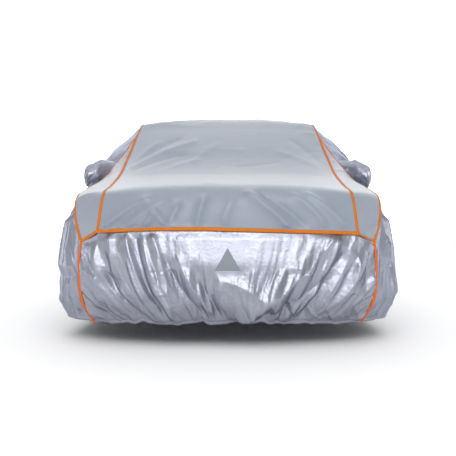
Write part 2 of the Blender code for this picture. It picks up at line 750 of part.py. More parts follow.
def make_side_panel(side, kit):
    """A silver side panel, with the hole that its mirror pocket is sewn into."""
    name = f"side_panel_{side.word}"
    panel = sheet(name, side.cut, CLOTH_THICKNESS, side.outward, "silver_cloth", kit)
    hole = panel.modifiers.new("pocket_hole", "BOOLEAN")
    hole.operation = "DIFFERENCE"
    hole.object = make_pocket(side.word, side.sign, kit)


def make_shoulder(end, side, lines, kit):
    """A padded shoulder panel, which parts the centre panel from the side at one end."""
    span = lines.span(end)
    grid = shoulder_grid(lines, [lines.stations[k] for k in span], side.sign)
    hem_trims = [0.0, 0.0]
    hem_trims[end.at] = PAD_TRIM
    cut = trimmed(grid, PAD_TRIM, PAD_TRIM, *hem_trims, reach=SHOULDER_COLUMNS)
    name = f"{end.name}_shoulder_{side.word}"
    sheet(name, cut, PAD_THICKNESS, side.outward + UP, "padding", kit)
    side.shoulders[end.name] = cut
    for k, row in zip(span, cut):
        side.outer_border[k] = row[0]
    hem_line = drawn_in(grid, PAD_TRIM, PAD_TRIM, SHOULDER_COLUMNS)[end.at]
    hem_line[-1] = grid[end.at][-1]
    side.flap_edges[end.name] = hem_line, cut[end.at]


def make_centre_tape(side, centre, kit):
    """Tape along one side of the centre panel, between the two hem tapes."""
    for end in ENDS:
        step = draw_in(centre[end.at], centre[end.near], side.centre_column, PAD_TRIM)
        side.centre_ridge[end.at] = side.centre_ridge[end.at] + step
    name = f"centre_tape_{side.word}"
    tape(name, side.centre_ridge, side.centre_border, side.outer_border, UP, kit)


def make_edge_tape(end, side, lines, kit):
    """Tape along a shoulder's edge seam, narrowing past the shoulder's tip, where it meets
    the centre panel's tape."""
    span = lines.span(end)
    tip = -1 - end.at
    beyond = span[tip] + end.near - end.at
    ridge = [mirrored(lines.top(lines.edge, lines.stations[k]), side.sign) for k in span]
    left = column(side.shoulders[end.name], -1)
    right = [side.cut[0][k] for k in span]
    border, seam = side.outer_border[beyond], side.seam[beyond]
    inner = left[tip].lerp(border + (seam - border).normalized() * SEWING_GAP, TIP_SHARE)
    outer = right[tip].lerp(side.cut[0][beyond], TIP_SHARE)
    place = 0 if tip == 0 else len(span)
    for line, point in ((ridge, (inner + outer) / 2), (left, inner), (right, outer)):
        line.insert(place, point)
    name = f"{end.name}_edge_tape_{side.word}"
    tape(name, ridge, left, right, side.outward + UP * 0.5, kit)


def make_corner_tape(end, side, skirt_cut, kit):
    """Tape down the corner between an end skirt and a side panel."""
    skirt_border = column(skirt_cut, 0 if side.sign < 0 else -1)
    ridge, side_border = column(side.grid, end.at), column(side.cut, end.at)
    name = f"{end.name}_corner_tape_{side.word}"
    tape(name, ridge, skirt_border, side_border, end.facing + side.outward, kit)


def make_hem_tape(end, sides, centre, centre_cut, skirt_cut, kit):
    """Tape along a flap's hem, from one corner of the flap to the other."""
    ridge = drawn_in(centre, PAD_TRIM, PAD_TRIM)[end.at]
    upper = list(centre_cut[end.at])
    for side in sides:
        hem_line, border = side.flap_edges[end.name]
        beside_ridge = [side.seam[end.at], *hem_line]
        beside_upper = [side.centre_ridge[end.at], *border]
        if side.sign < 0:
            ridge, upper = beside_ridge[::-1] + ridge, beside_upper[::-1] + upper
        else:
            ridge, upper = ridge + beside_ridge, upper + beside_upper
    lower = [at_x(skirt_cut[0], p.x) + UP * HEM_WING_LIFT for p in ridge]
    tape(f"{end.name}_hem_tape", ridge, upper, lower, end.facing, kit)


def make_cover():
    clear_scene()
    kit = make_materials()
    kit["cover"] = new_collection("car_cover")
    kit["cutters"] = new_collection("cutters")
    lines = Lines()

    centre = relieved(centre_grid(lines), flap_relief, UP)
    centre_cut = trimmed(centre, PAD_TRIM, PAD_TRIM, PAD_TRIM, PAD_TRIM)
    sheet("centre_panel", centre_cut, PAD_THICKNESS, UP, "padding", kit)

    sides = [Side(*words, lines, centre, centre_cut) for words in (("left", -1), ("right", 1))]
    for side in sides:
        make_side_panel(side, kit)
        for end in ENDS:
            make_shoulder(end, side, lines, kit)
        make_centre_tape(side, centre, kit)
        for end in ENDS:
            make_edge_tape(end, side, lines, kit)

    for end in ENDS:
        skirt, skirt_cut = make_end_skirt(end, column(sides[1].grid, end.at), lines, kit)
        if end.name == "front":
            make_triangle(skirt, kit)
        for side in sides:
            make_corner_tape(end, side, skirt_cut, kit)
        make_hem_tape(end, sides, centre, centre_cut, skirt_cut, kit)


make_cover()
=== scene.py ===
"""Fitted hail cover for a saloon car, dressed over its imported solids.

Each cloth panel is laid out on the same seam lines as its solid, much finer, and then
creased. Tape is laid over the seams and stitched. The tables are in car coordinates, in
metres: x to the side, y back from the nose, z above the ground.
"""

import math
from collections import namedtuple

import bmesh
import bpy
import numpy as np
from bpy.props import FloatProperty, FloatVectorProperty, PointerProperty
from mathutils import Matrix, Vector


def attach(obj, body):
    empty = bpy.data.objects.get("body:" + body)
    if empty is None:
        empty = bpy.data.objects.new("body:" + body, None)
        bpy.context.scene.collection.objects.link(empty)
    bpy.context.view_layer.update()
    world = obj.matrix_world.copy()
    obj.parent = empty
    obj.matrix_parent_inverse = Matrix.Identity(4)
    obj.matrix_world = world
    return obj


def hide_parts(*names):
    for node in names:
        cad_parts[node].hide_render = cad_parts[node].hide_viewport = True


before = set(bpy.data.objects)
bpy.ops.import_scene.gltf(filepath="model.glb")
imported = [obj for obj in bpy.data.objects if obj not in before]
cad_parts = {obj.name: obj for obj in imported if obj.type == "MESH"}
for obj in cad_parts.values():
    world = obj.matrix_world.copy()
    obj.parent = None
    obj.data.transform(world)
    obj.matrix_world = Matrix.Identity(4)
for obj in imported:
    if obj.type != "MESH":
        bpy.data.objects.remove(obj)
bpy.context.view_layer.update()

bl_info = {
    "name": "Car cover",
    "version": (1, 0, 0),
    "blender": (4, 5, 0),
    "location": "View3D > Sidebar > Car cover",
    "description": "Builds a fitted, padded car cover with its seams, folds and stitches",
    "category": "Object",
}

BODY = "root"
ORIGIN = np.array((0.0, 2.950, 1.455))
SIDES = {"left": -1, "right": 1}
UP = np.array((0.0, 0.0, 1.0))
FORWARD = np.array((0.0, -1.0, 0.0))

# ---- the cover's lines ----

TopLine = namedtuple(
    "TopLine", "name centre_y centre_z seam_x seam_y seam_z edge_x edge_y edge_z"
)
TOP_LINES = [
    TopLine("front hem", 0.020, 0.569, 0.636, 0.100, 0.562, 0.733, 0.220, 0.512),
    TopLine("front flap", 0.018, 0.640, 0.627, 0.110, 0.625, 0.764, 0.265, 0.590),
    TopLine("front lip", 0.032, 0.712, 0.621, 0.132, 0.692, 0.787, 0.340, 0.664),
    TopLine("bonnet edge", 0.078, 0.768, 0.616, 0.182, 0.750, 0.795, 0.405, 0.720),
    TopLine("bonnet front", 0.170, 0.799, 0.619, 0.270, 0.771, 0.798, 0.475, 0.752),
    TopLine("bonnet", 0.550, 0.851, 0.637, 0.570, 0.806, 0.808, 0.650, 0.779),
    TopLine("bonnet back", 1.000, 0.906, 0.661, 1.000, 0.870, 0.813, 1.000, 0.832),
    TopLine("windscreen foot", 1.340, 0.942, 0.678, 1.400, 0.949, 0.802, 1.400, 0.900),
    TopLine("windscreen low", 1.620, 1.040, 0.680, 1.700, 1.053, 0.762, 1.680, 1.014),
    TopLine("windscreen", 1.880, 1.176, 0.667, 1.910, 1.158, 0.703, 1.890, 1.142),
    TopLine("front tip", 2.040, 1.257, 0.659, 2.040, 1.232, 0.678, 2.047, 1.219),
    TopLine("windscreen top", 2.170, 1.318, 0.652, 2.145, 1.289, 0.652, 2.145, 1.289),
    TopLine("roof front", 2.370, 1.407, 0.640, 2.310, 1.370, 0.640, 2.310, 1.370),
    TopLine("roof", 2.600, 1.450, 0.628, 2.590, 1.390, 0.628, 2.590, 1.390),
    TopLine("roof crown", 2.950, 1.460, 0.616, 2.950, 1.398, 0.616, 2.950, 1.398),
    TopLine("roof back", 3.340, 1.436, 0.604, 3.340, 1.374, 0.604, 3.340, 1.374),
    TopLine("rear window top", 3.520, 1.408, 0.600, 3.520, 1.346, 0.600, 3.520, 1.346),
    TopLine("rear tip", 3.620, 1.384, 0.600, 3.620, 1.322, 0.619, 3.615, 1.308),
    TopLine("rear window", 3.900, 1.266, 0.610, 3.890, 1.204, 0.662, 3.880, 1.168),
    TopLine("rear window foot", 4.140, 1.142, 0.625, 4.110, 1.088, 0.735, 4.060, 1.038),
    TopLine("boot", 4.320, 1.082, 0.635, 4.290, 1.034, 0.776, 4.220, 0.974),
    TopLine("boot back", 4.520, 1.058, 0.630, 4.470, 1.012, 0.786, 4.370, 0.938),
    TopLine("boot edge", 4.630, 1.030, 0.622, 4.565, 0.984, 0.778, 4.460, 0.900),
    TopLine("rear flap", 4.676, 0.960, 0.626, 4.612, 0.915, 0.766, 4.525, 0.830),
    TopLine("rear hem", 4.684, 0.790, 0.640, 4.630, 0.778, 0.746, 4.565, 0.735),
]

SideLine = namedtuple("SideLine", "name belt_x belt_z waist_x waist_y hem_x hem_y hem_z")
SIDE_LINES = [
    SideLine("front hem", 0.739, 0.460, 0.741, 0.192, 0.684, 0.335, 0.095),
    SideLine("bonnet edge", 0.822, 0.600, 0.836, 0.350, 0.775, 0.450, 0.102),
    SideLine("bonnet", 0.884, 0.665, 0.914, 0.610, 0.850, 0.650, 0.110),
    SideLine("bonnet back", 0.896, 0.720, 0.927, 1.000, 0.872, 1.000, 0.120),
    SideLine("windscreen foot", 0.899, 0.800, 0.930, 1.400, 0.880, 1.400, 0.122),
    SideLine("windscreen top", 0.896, 0.900, 0.932, 2.120, 0.882, 2.120, 0.124),
    SideLine("roof crown", 0.893, 0.930, 0.932, 2.950, 0.880, 2.950, 0.125),
    SideLine("rear tip", 0.885, 0.950, 0.928, 3.620, 0.876, 3.600, 0.125),
    SideLine("rear window foot", 0.880, 0.880, 0.912, 4.020, 0.860, 3.960, 0.126),
    SideLine("boot", 0.858, 0.800, 0.890, 4.200, 0.838, 4.120, 0.128),
    SideLine("boot edge", 0.816, 0.720, 0.830, 4.420, 0.775, 4.320, 0.134),
    SideLine("rear hem", 0.756, 0.620, 0.765, 4.520, 0.705, 4.420, 0.140),
]
WAIST_Z = 0.400
SILL_Z = 0.225
SILL_INSET = 0.008

# The middle of each end skirt, from the flap's hem down: y and z
FRONT_MIDDLE = [(0.020, 0.569), (0.007, 0.470), (0.000, 0.390), (0.022, 0.225), (0.125, 0.112)]
REAR_MIDDLE = [(4.684, 0.790), (4.695, 0.640), (4.700, 0.480), (4.672, 0.260), (4.560, 0.150)]
END_BOW_POWER = 2.6
FLAP_MATCH_POWER = 1.5
CROWN_POWER_Y = 2.4
CROWN_POWER_Z = 3.2
SHOULDER_CROWN = 0.010
SHOULDER_CROWN_START = 0.30
SHOULDER_FULL_WIDTH = 0.12

# How the mirror pockets draw the side cloth out, and the long waves of the sides
TENT = namedtuple("Tent", "y z length height reach spread")(1.85, 1.08, 0.23, 0.13, 0.07, 0.25)
# The ridge in which the side cloth is drawn from the pocket up and back to the roof rail
RIDGE = namedtuple("Ridge", "start_y start_z end_y end_z reach width power spread")(
    1.80, 1.02, 2.70, 1.26, 0.084, 0.13, 1.2, 0.06
)
Wave = namedtuple("Wave", "count height")
SIDE_WAVES = [Wave(11.0, 0.007), Wave(4.3, 0.005)]
WAVE_START = 0.19
WAVE_SPREAD = 0.62

Ring = namedtuple("Ring", "x y z half_length half_height")
POCKET_RINGS = [
    Ring(0.735, 1.875, 0.965, 0.125, 0.080),
    Ring(0.820, 1.835, 0.970, 0.130, 0.085),
    Ring(0.880, 1.785, 0.962, 0.130, 0.091),
    Ring(0.925, 1.750, 0.948, 0.118, 0.083),
    Ring(0.950, 1.730, 0.940, 0.102, 0.074),
    Ring(0.962, 1.727, 0.940, 0.078, 0.052),
    Ring(0.966, 1.726, 0.940, 0.035, 0.020),
    Ring(0.967, 1.726, 0.940, 0.0, 0.0),
]
POCKET_SQUARENESS = 2.8
POCKET_ROUNDNESS = 1.75
# The seam of the pocket's end cap: its top, and how it falls towards the cover
CAP = namedtuple("Cap", "x z run fall recess step reach fade groove groove_width")(
    0.955, 0.966, 0.078, 0.060, 0.005, 0.010, 2.0, 0.4, 0.003, 0.0045
)
# How far the hole in the side cloth stays inside the pocket's sleeve
HOLE_MARGIN = 0.02

# How the front flap's hem rises and falls across the car: x and z
HEM_SWAY = [
    (-0.640, 0.000), (-0.360, 0.006), (-0.100, 0.005), (0.200, -0.003), (0.450, -0.008),
    (0.640, -0.009), (0.733, 0.000),
]
HEM_SWAY_REACH = 0.11

PATCH_TOP_Z = 0.484
PATCH_BASE_Z = 0.376
PATCH_WIDTH = 0.122
PATCH_FLAT_REACH = 0.065
PATCH_STEPS = 24
PATCH_TIP = 0.004
PATCH_LIFT = 0.0016
PATCH_THICKNESS = 0.001

# How each end faces, and the border of the panels along it
ENDS = {"front": (FORWARD, "first row"), "rear": (-FORWARD, "last row")}

# Across a tape, in half widths, and how far it stands off there, in lifts
TAPE_SHAPE = [
    (-1.0, 0.1), (-0.9, 0.75), (-0.5, 0.95), (0.0, 1.1), (0.5, 0.95), (0.9, 0.75), (1.0, 0.1),
]
TAPE_STITCHED = (1, 5)
# How far past the border a tape's free wing may hang, step by step
WING_STEPS = (0.0, 0.01, 0.05)

# The stage, in the row's own frame
FLOOR_REACH = 60.0
FLOOR_POINTS = 9
FRONT_BOX_PLACE = (0.0, -10.5, 3.4)
FRONT_BOX_TARGET = (0, -2.9, -1.0)
FRONT_BOX_SIZE = (8.0, 3.0)
STRIP_PLACE = (8.0, 0.8, -0.1)
STRIP_TARGET = (0, -2.6, -1.0)
STRIP_SIZE = (1.6, 2.4)
SENSOR_WIDTH = 36.0
LENS_SHIFT = (0.0007, 0.0162)
# Where the dome brightens above the horizon, dims overhead, and dims towards the sides
HORIZON_BAND = (-0.02, 0.25)
ZENITH_BAND = (0.35, 0.95)
SIDE_BAND = (0.27, 0.58)
DOME_COLOUR = (0.985, 0.99, 1.0, 1)

# How finely each cloth is divided; the flap and the windscreen carry finer folds
STATION_STEP = 0.022
FINE_STEPS = {
    "front hem": 0.008,
    "front flap": 0.008,
    "front lip": 0.009,
    "bonnet edge": 0.012,
    "bonnet front": 0.018,
    "bonnet": 0.018,
    "windscreen foot": 0.014,
    "windscreen low": 0.014,
    "windscreen": 0.014,
    "front tip": 0.014,
}
CENTRE_COLUMNS = 128
SHOULDER_COLUMNS = 20
SKIRT_ROWS = 120
FRONT_COLUMNS = 320
REAR_COLUMNS = 240
POCKET_SIDES = 96
POCKET_LENGTHS = 48

# ---- folds and creases ----

# A fold runs from its head to its foot, bowed sideways, and stands out by its height. Its
# places are as seen from in front (x and z), or along and down the cloth for scattered ones.
# A low edge number gives a sharp crest, 2 a round one.
Fold = namedtuple("Fold", "head_a head_b foot_a foot_b bow width height edge")
FRONT_FOLDS = [
    Fold(-0.665, 0.500, -0.640, 0.200, 0.010, 0.022, 0.012, 1.2),
    Fold(-0.572, 0.550, -0.560, 0.350, 0.000, 0.024, 0.018, 1.2),
    Fold(-0.590, 0.370, -0.370, 0.120, -0.040, 0.026, -0.024, 1.2),
    Fold(-0.530, 0.300, -0.300, 0.115, -0.035, 0.026, 0.022, 1.1),
    Fold(-0.490, 0.545, -0.380, 0.240, -0.012, 0.024, 0.017, 1.1),
    Fold(-0.445, 0.550, -0.310, 0.150, -0.020, 0.026, -0.018, 1.2),
    Fold(-0.365, 0.550, -0.270, 0.170, 0.016, 0.026, 0.018, 1.1),
    Fold(-0.300, 0.430, -0.115, 0.150, -0.016, 0.028, -0.026, 1.2),
    Fold(-0.240, 0.440, -0.070, 0.160, -0.014, 0.026, 0.020, 1.1),
    Fold(-0.160, 0.410, -0.035, 0.150, -0.012, 0.026, -0.022, 1.2),
    Fold(-0.030, 0.330, 0.180, 0.230, 0.010, 0.030, 0.014, 1.3),
    Fold(0.510, 0.535, 0.035, 0.125, 0.034, 0.048, 0.036, 1.3),
    Fold(0.400, 0.410, 0.060, 0.130, 0.022, 0.050, 0.016, 1.2),
    Fold(0.570, 0.460, 0.140, 0.125, 0.036, 0.030, -0.024, 1.2),
    Fold(0.460, 0.400, 0.240, 0.125, 0.026, 0.034, 0.015, 1.1),
    Fold(0.530, 0.530, 0.400, 0.240, 0.018, 0.026, 0.019, 1.1),
    Fold(0.470, 0.340, 0.350, 0.130, 0.020, 0.026, -0.021, 1.2),
    Fold(0.640, 0.430, 0.480, 0.140, 0.036, 0.028, 0.020, 1.1),
    Fold(0.690, 0.480, 0.660, 0.180, 0.016, 0.022, -0.014, 1.2),
]
REAR_FOLDS = [
    Fold(-0.640, 0.700, -0.480, 0.180, 0.030, 0.045, 0.016, 1.5),
    Fold(-0.560, 0.720, -0.250, 0.170, -0.040, 0.045, -0.016, 1.6),
    Fold(-0.330, 0.700, -0.160, 0.200, 0.020, 0.045, 0.014, 1.4),
    Fold(-0.110, 0.640, -0.030, 0.170, 0.010, 0.045, -0.012, 1.6),
    Fold(0.090, 0.560, 0.020, 0.170, 0.010, 0.045, 0.012, 1.5),
    Fold(0.340, 0.700, 0.160, 0.180, 0.030, 0.045, 0.015, 1.4),
    Fold(0.520, 0.720, 0.290, 0.180, 0.030, 0.045, -0.016, 1.6),
    Fold(0.660, 0.680, 0.520, 0.190, 0.030, 0.045, 0.014, 1.4),
]
FOLD_FADE = 0.060

# Soft folds of the padding: on the front flap, and across the windscreen
FLAP_FOLDS = [
    Fold(-0.610, 0.570, -0.370, 0.720, 0.010, 0.026, 0.018, 1.2),
    Fold(-0.560, 0.570, -0.400, 0.690, 0.012, 0.018, -0.011, 1.3),
    Fold(-0.490, 0.570, -0.290, 0.710, 0.014, 0.024, 0.015, 1.2),
    Fold(-0.400, 0.575, -0.345, 0.660, 0.000, 0.018, 0.019, 1.2),
    Fold(-0.345, 0.660, -0.285, 0.575, 0.000, 0.018, 0.017, 1.2),
    Fold(-0.280, 0.600, -0.230, 0.700, 0.004, 0.022, -0.012, 1.3),
    Fold(-0.150, 0.570, -0.110, 0.740, 0.006, 0.028, -0.017, 1.3),
    Fold(-0.020, 0.600, 0.030, 0.720, 0.006, 0.026, 0.010, 1.4),
    Fold(0.085, 0.745, 0.300, 0.575, 0.010, 0.024, 0.018, 1.2),
    Fold(0.160, 0.745, 0.370, 0.590, 0.010, 0.020, -0.012, 1.3),
    Fold(0.300, 0.740, 0.470, 0.590, 0.010, 0.022, 0.013, 1.2),
    Fold(0.370, 0.740, 0.570, 0.580, 0.012, 0.024, 0.017, 1.2),
]
SCREEN_FOLDS = [
    Fold(-0.650, 0.975, -0.215, 1.205, 0.020, 0.026, 0.014, 1.3),
    Fold(-0.640, 1.000, -0.330, 1.230, 0.016, 0.022, -0.009, 1.5),
    Fold(-0.610, 0.965, -0.280, 1.090, 0.014, 0.022, -0.010, 1.4),
    Fold(-0.560, 0.955, -0.330, 1.060, 0.010, 0.020, 0.009, 1.3),
    Fold(-0.430, 0.950, -0.180, 1.045, 0.010, 0.020, 0.010, 1.3),
    Fold(-0.610, 1.050, -0.480, 1.200, 0.006, 0.020, 0.009, 1.4),
    Fold(-0.250, 1.010, -0.060, 1.180, 0.010, 0.026, 0.006, 1.6),
    Fold(0.600, 0.985, 0.330, 1.120, -0.012, 0.026, 0.008, 1.5),
    Fold(0.610, 1.040, 0.440, 1.220, -0.012, 0.024, -0.007, 1.5),
]
# Each with the part of the car that it lies on, from y to y, and how strongly it shows
SOFT_FOLDS = [(FLAP_FOLDS, (0.0, 0.5), 1.7), (SCREEN_FOLDS, (1.2, 2.4), 0.7)]
SHOULDER_GAIN = 2.2

# The sides' own folds behind the front corners, as seen from the side (y and z)
SIDE_FOLDS = {
    "left": [
        Fold(0.350, 0.660, 0.300, 0.360, 0.000, 0.050, 0.040, 1.1),
        Fold(0.440, 0.600, 0.420, 0.300, 0.010, 0.036, -0.020, 1.3),
        Fold(0.560, 0.640, 0.540, 0.200, 0.012, 0.040, 0.020, 1.2),
        Fold(0.720, 0.640, 0.760, 0.220, 0.016, 0.050, -0.016, 1.3),
        Fold(0.900, 0.680, 0.960, 0.200, 0.010, 0.055, 0.018, 1.2),
        Fold(0.300, 0.330, 0.380, 0.140, 0.006, 0.026, 0.014, 1.2),
        Fold(0.600, 0.370, 0.620, 0.230, 0.000, 0.180, -0.024, 2.0),
    ],
    "right": [
        Fold(0.340, 0.660, 0.330, 0.400, 0.000, 0.042, 0.033, 1.1),
        Fold(0.330, 0.520, 0.440, 0.330, -0.008, 0.020, 0.014, 1.1),
        Fold(0.420, 0.620, 0.450, 0.380, 0.008, 0.030, -0.018, 1.3),
        Fold(0.520, 0.650, 0.560, 0.220, 0.012, 0.040, 0.022, 1.2),
        Fold(0.700, 0.650, 0.720, 0.200, 0.016, 0.050, -0.018, 1.3),
        Fold(0.880, 0.680, 0.980, 0.220, 0.010, 0.055, 0.018, 1.2),
    ],
}

# Pleats of the thin cloth: sharp ridges and grooves that run with its flow
Pleat = namedtuple("Pleat", "spacing length height wander")
END_PLEATS = [
    Pleat(0.095, 0.80, 0.0130, 0.030),
    Pleat(0.043, 0.32, 0.0052, 0.018),
    Pleat(0.021, 0.085, 0.0019, 0.010),
    Pleat(0.010, 0.020, 0.0008, 0.0),
]
SIDE_PLEATS = [
    Pleat(0.150, 0.90, 0.0110, 0.050),
    Pleat(0.075, 0.36, 0.0060, 0.024),
    Pleat(0.045, 0.120, 0.0022, 0.012),
]
POCKET_PLEATS = [
    Pleat(0.050, 0.110, 0.0060, 0.012),
    Pleat(0.021, 0.045, 0.0024, 0.006),
    Pleat(0.010, 0.018, 0.0009, 0.0),
]
PLEAT_GAIN = 1.5
NOISE_CELLS = 97
GATHER = 0.42
GATHER_POWER = 1.3
# Over what lengths a pleat wanders, across and along its flow
WANDER_STEPS = (0.20, 0.15)
# The share of its pleats that cloth has at its top, and how far down it has them all
PleatStart = namedtuple("PleatStart", "share full_at")
END_START = PleatStart(0.38, 0.45)
SIDE_START = PleatStart(0.30, 0.7)
# The part of the front skirt that is drawn smooth over the nose, and how it ends
CALM = namedtuple("Calm", "share x half_width beside foot_z below")(
    0.38, 0.04, 0.24, 0.16, 0.405, 0.05
)
# The way in which scattered folds lie, from straight along the first axis, in radians
CENTRE_HEADING = 0.9
SHOULDER_HEADING = 0.3
SIDE_HEADING = math.pi / 2 + 0.3
SKIRT_LEAN = 0.9
# Over what length of cloth the relief grows from a seam
SEAM_FADE = 0.03
CENTRE_SEAM_FADE = 0.05
SKIRT_TOP_FADE = 0.04
POCKET_SEAM_FADE = 0.02
# How far down and how far in from its corners a skirt hangs behind its flap
FLAP_GAP_REACH = 0.05
FLAP_GAP_FADE = 0.24
SIDE_LEAN = 0.18
SIDE_INSET = 0.024
SIDE_INSET_TOP = 0.90
SIDE_INSET_FADE = 0.20
HEM_HOLD = 0.80
HEM_HOLD_REACH = 0.045
# How far the sides stand out low down, and over what height and length that grows
HEM_FLARE = 0.028
HEM_FLARE_TOP = 0.40
HEM_FLARE_FADE = 0.27
HEM_FLARE_START = 0.40
# How far each end skirt's hem rises and falls where it is gathered
HEM_RISE = 0.012
HEM_RISE_STEP = 0.042
HEM_RISE_REACH = 0.045
HEM_RISE_FADE = 0.04
# The casing sewn along each hem: its roll, and the groove above it
CASING = namedtuple("Casing", "height roll_at roll_width groove_at groove_width")(
    0.0022, 0.008, 0.006, 0.021, 0.004
)

# Scattered folds of the thin cloth: how many to a square metre, and from what to what
Scatter = namedtuple("Scatter", "density length width height spread edge")
SILVER_SCATTER = [
    Scatter(16, (0.12, 0.24), (0.012, 0.020), (0.004, 0.008), 0.30, 1.1),
    Scatter(70, (0.05, 0.11), (0.006, 0.010), (0.0018, 0.0042), 0.80, 1.0),
]
SEAM_PUCKER = Scatter(26, (0.03, 0.09), (0.006, 0.010), (0.0015, 0.0040), 0.35, 1.2)
HEM_GATHER = Scatter(34, (0.07, 0.19), (0.008, 0.015), (0.0035, 0.0080), 0.25, 1.3)
PADDING_SCATTER = [
    Scatter(7, (0.15, 0.40), (0.024, 0.050), (0.0015, 0.0040), 0.80, 1.6),
    Scatter(10, (0.05, 0.12), (0.010, 0.018), (0.0008, 0.0018), 0.90, 1.4),
]
HEM_OVERRUN = 0.05
SCATTER_BOW = 0.08
BORDER_BOW = 0.004
BORDER_JITTER = 0.4

# Seeds of the random folds; the shoulders, sides, pockets and skirts count on from theirs
CENTRE_SEED = 4
SHOULDER_SEED = 20
SIDE_SEED = 40
POCKET_SEED = 50
SKIRT_SEED = 60


# ---- settings that a user would change ----

def linear(code):
    """An sRGB hex colour as linear red, green, blue."""
    channels = [int(code[i:i + 2], 16) / 255 for i in (1, 3, 5)]
    return tuple(c / 12.92 if c <= 0.04045 else ((c + 0.055) / 1.055) ** 2.4 for c in channels)


def size_prop(name, description, default):
    return FloatProperty(name=name, description=description, default=default, unit="LENGTH")


def colour_prop(name, description, code):
    return FloatVectorProperty(
        name=name, description=description, default=linear(code), subtype="COLOR",
        min=0.0, max=1.0,
    )


class CoverSizes(bpy.types.PropertyGroup):
    pad_thickness: size_prop("Padding", "Thickness of the padded panels", 0.005)
    cloth_thickness: size_prop("Silver cloth", "Thickness of the thin cloth", 0.0016)
    tape_width: size_prop("Tape width", "Width of the tape over the centre seams", 0.018)
    edge_width: size_prop("Edge tape", "Width of the tape round the padding", 0.029)
    corner_width: size_prop("Corner tape", "Width of the tape down the corners", 0.026)
    tape_lift: size_prop("Tape lift", "How far tape stands off the cloth", 0.0020)
    tape_thickness: size_prop("Tape thickness", "Thickness of the tape", 0.0016)
    flap_gap: size_prop("Flap gap", "How far each skirt hangs behind its flap", 0.009)
    stitch_pitch: size_prop("Stitch pitch", "From one stitch to the next", 0.0090)
    stitch_length: size_prop("Stitch length", "Length of one stitch", 0.0062)
    stitch_radius: size_prop("Thread", "Half the thickness of the thread", 0.0005)
    creasing: FloatProperty(
        name="Creasing", description="Strength of the scattered creases", default=1.0, min=0.0
    )


class CoverColours(bpy.types.PropertyGroup):
    padding: colour_prop("Padding", "Face of the padded panels", "#88909C")
    silver: colour_prop("Silver cloth", "Coated cloth of the skirt", "#A1A3AF")
    tape: colour_prop("Tape", "Binding tape over the top seams", "#C56C0A")
    corner_tape: colour_prop("Corner tape", "Binding tape down the corners", "#D6650A")
    thread: colour_prop("Thread", "Stitches", "#B85A10")
    patch: colour_prop("Patch", "Reflective triangle", "#7B8289")
    paper: colour_prop("Paper", "Floor under the cover", "#FAFAFA")


class StudioSettings(bpy.types.PropertyGroup):
    camera_distance: size_prop("Camera distance", "From the lens to the cover's nose", 4.0)
    camera_height: size_prop("Camera height", "Above the floor", 0.543)
    lens: FloatProperty(name="Lens", description="Focal length in mm", default=66.6)
    horizon_level: FloatProperty(name="Horizon", description="Brightness low down", default=1.88)
    dome_level: FloatProperty(name="Dome", description="Brightness above it", default=2.55)
    zenith_share: FloatProperty(name="Zenith", description="Share left overhead", default=0.45)
    side_share: FloatProperty(name="Sides", description="Share left at the sides", default=0.24)
    front_box: FloatProperty(name="Softbox", description="Brightness of the softbox", default=2.2)
    side_strips: FloatProperty(name="Strips", description="Brightness of the strips", default=3.6)


# ---- curves and grids ----

def smooth_step(u):
    u = np.clip(u, 0.0, 1.0)
    return u * u * (3 - 2 * u)


def bell(u):
    return np.exp(-(u**2))


def unit(vectors, least=1e-12):
    return vectors / np.maximum(np.linalg.norm(vectors, axis=-1, keepdims=True), least)


def from_ends(a):
    """How far each point is from the nearer end of a grid's first axis."""
    return np.minimum(a, a[-1:] - a)


def from_sides(b):
    """How far each point is from the nearer end of a grid's second axis."""
    return np.minimum(b, b[:, -1:] - b)


def chords(points):
    """Running length along a list of points."""
    return np.concatenate(([0.0], np.cumsum(np.linalg.norm(np.diff(points, axis=0), axis=1))))


def spline(points, knots, at):
    """Points at those lengths on a smooth curve through the given ones."""
    slopes = np.empty_like(points)
    slopes[1:-1] = (points[2:] - points[:-2]) / (knots[2:] - knots[:-2])[:, None]
    slopes[0] = (points[1] - points[0]) / (knots[1] - knots[0])
    slopes[-1] = (points[-1] - points[-2]) / (knots[-1] - knots[-2])
    at = np.atleast_1d(at)
    i = np.clip(np.searchsorted(knots, at, side="right") - 1, 0, len(knots) - 2)
    span = (knots[i + 1] - knots[i])[:, None]
    u = (at - knots[i])[:, None] / span
    return (
        points[i] * (2 * u**3 - 3 * u**2 + 1)
        + slopes[i] * span * (u**3 - 2 * u**2 + u)
        + points[i + 1] * (3 * u**2 - 2 * u**3)
        + slopes[i + 1] * span * (u**3 - u**2)
    )


def even_line(points, count):
    points = np.asarray(points, float)
    knots = chords(points)
    return spline(points, knots, np.linspace(0, knots[-1], count + 1))


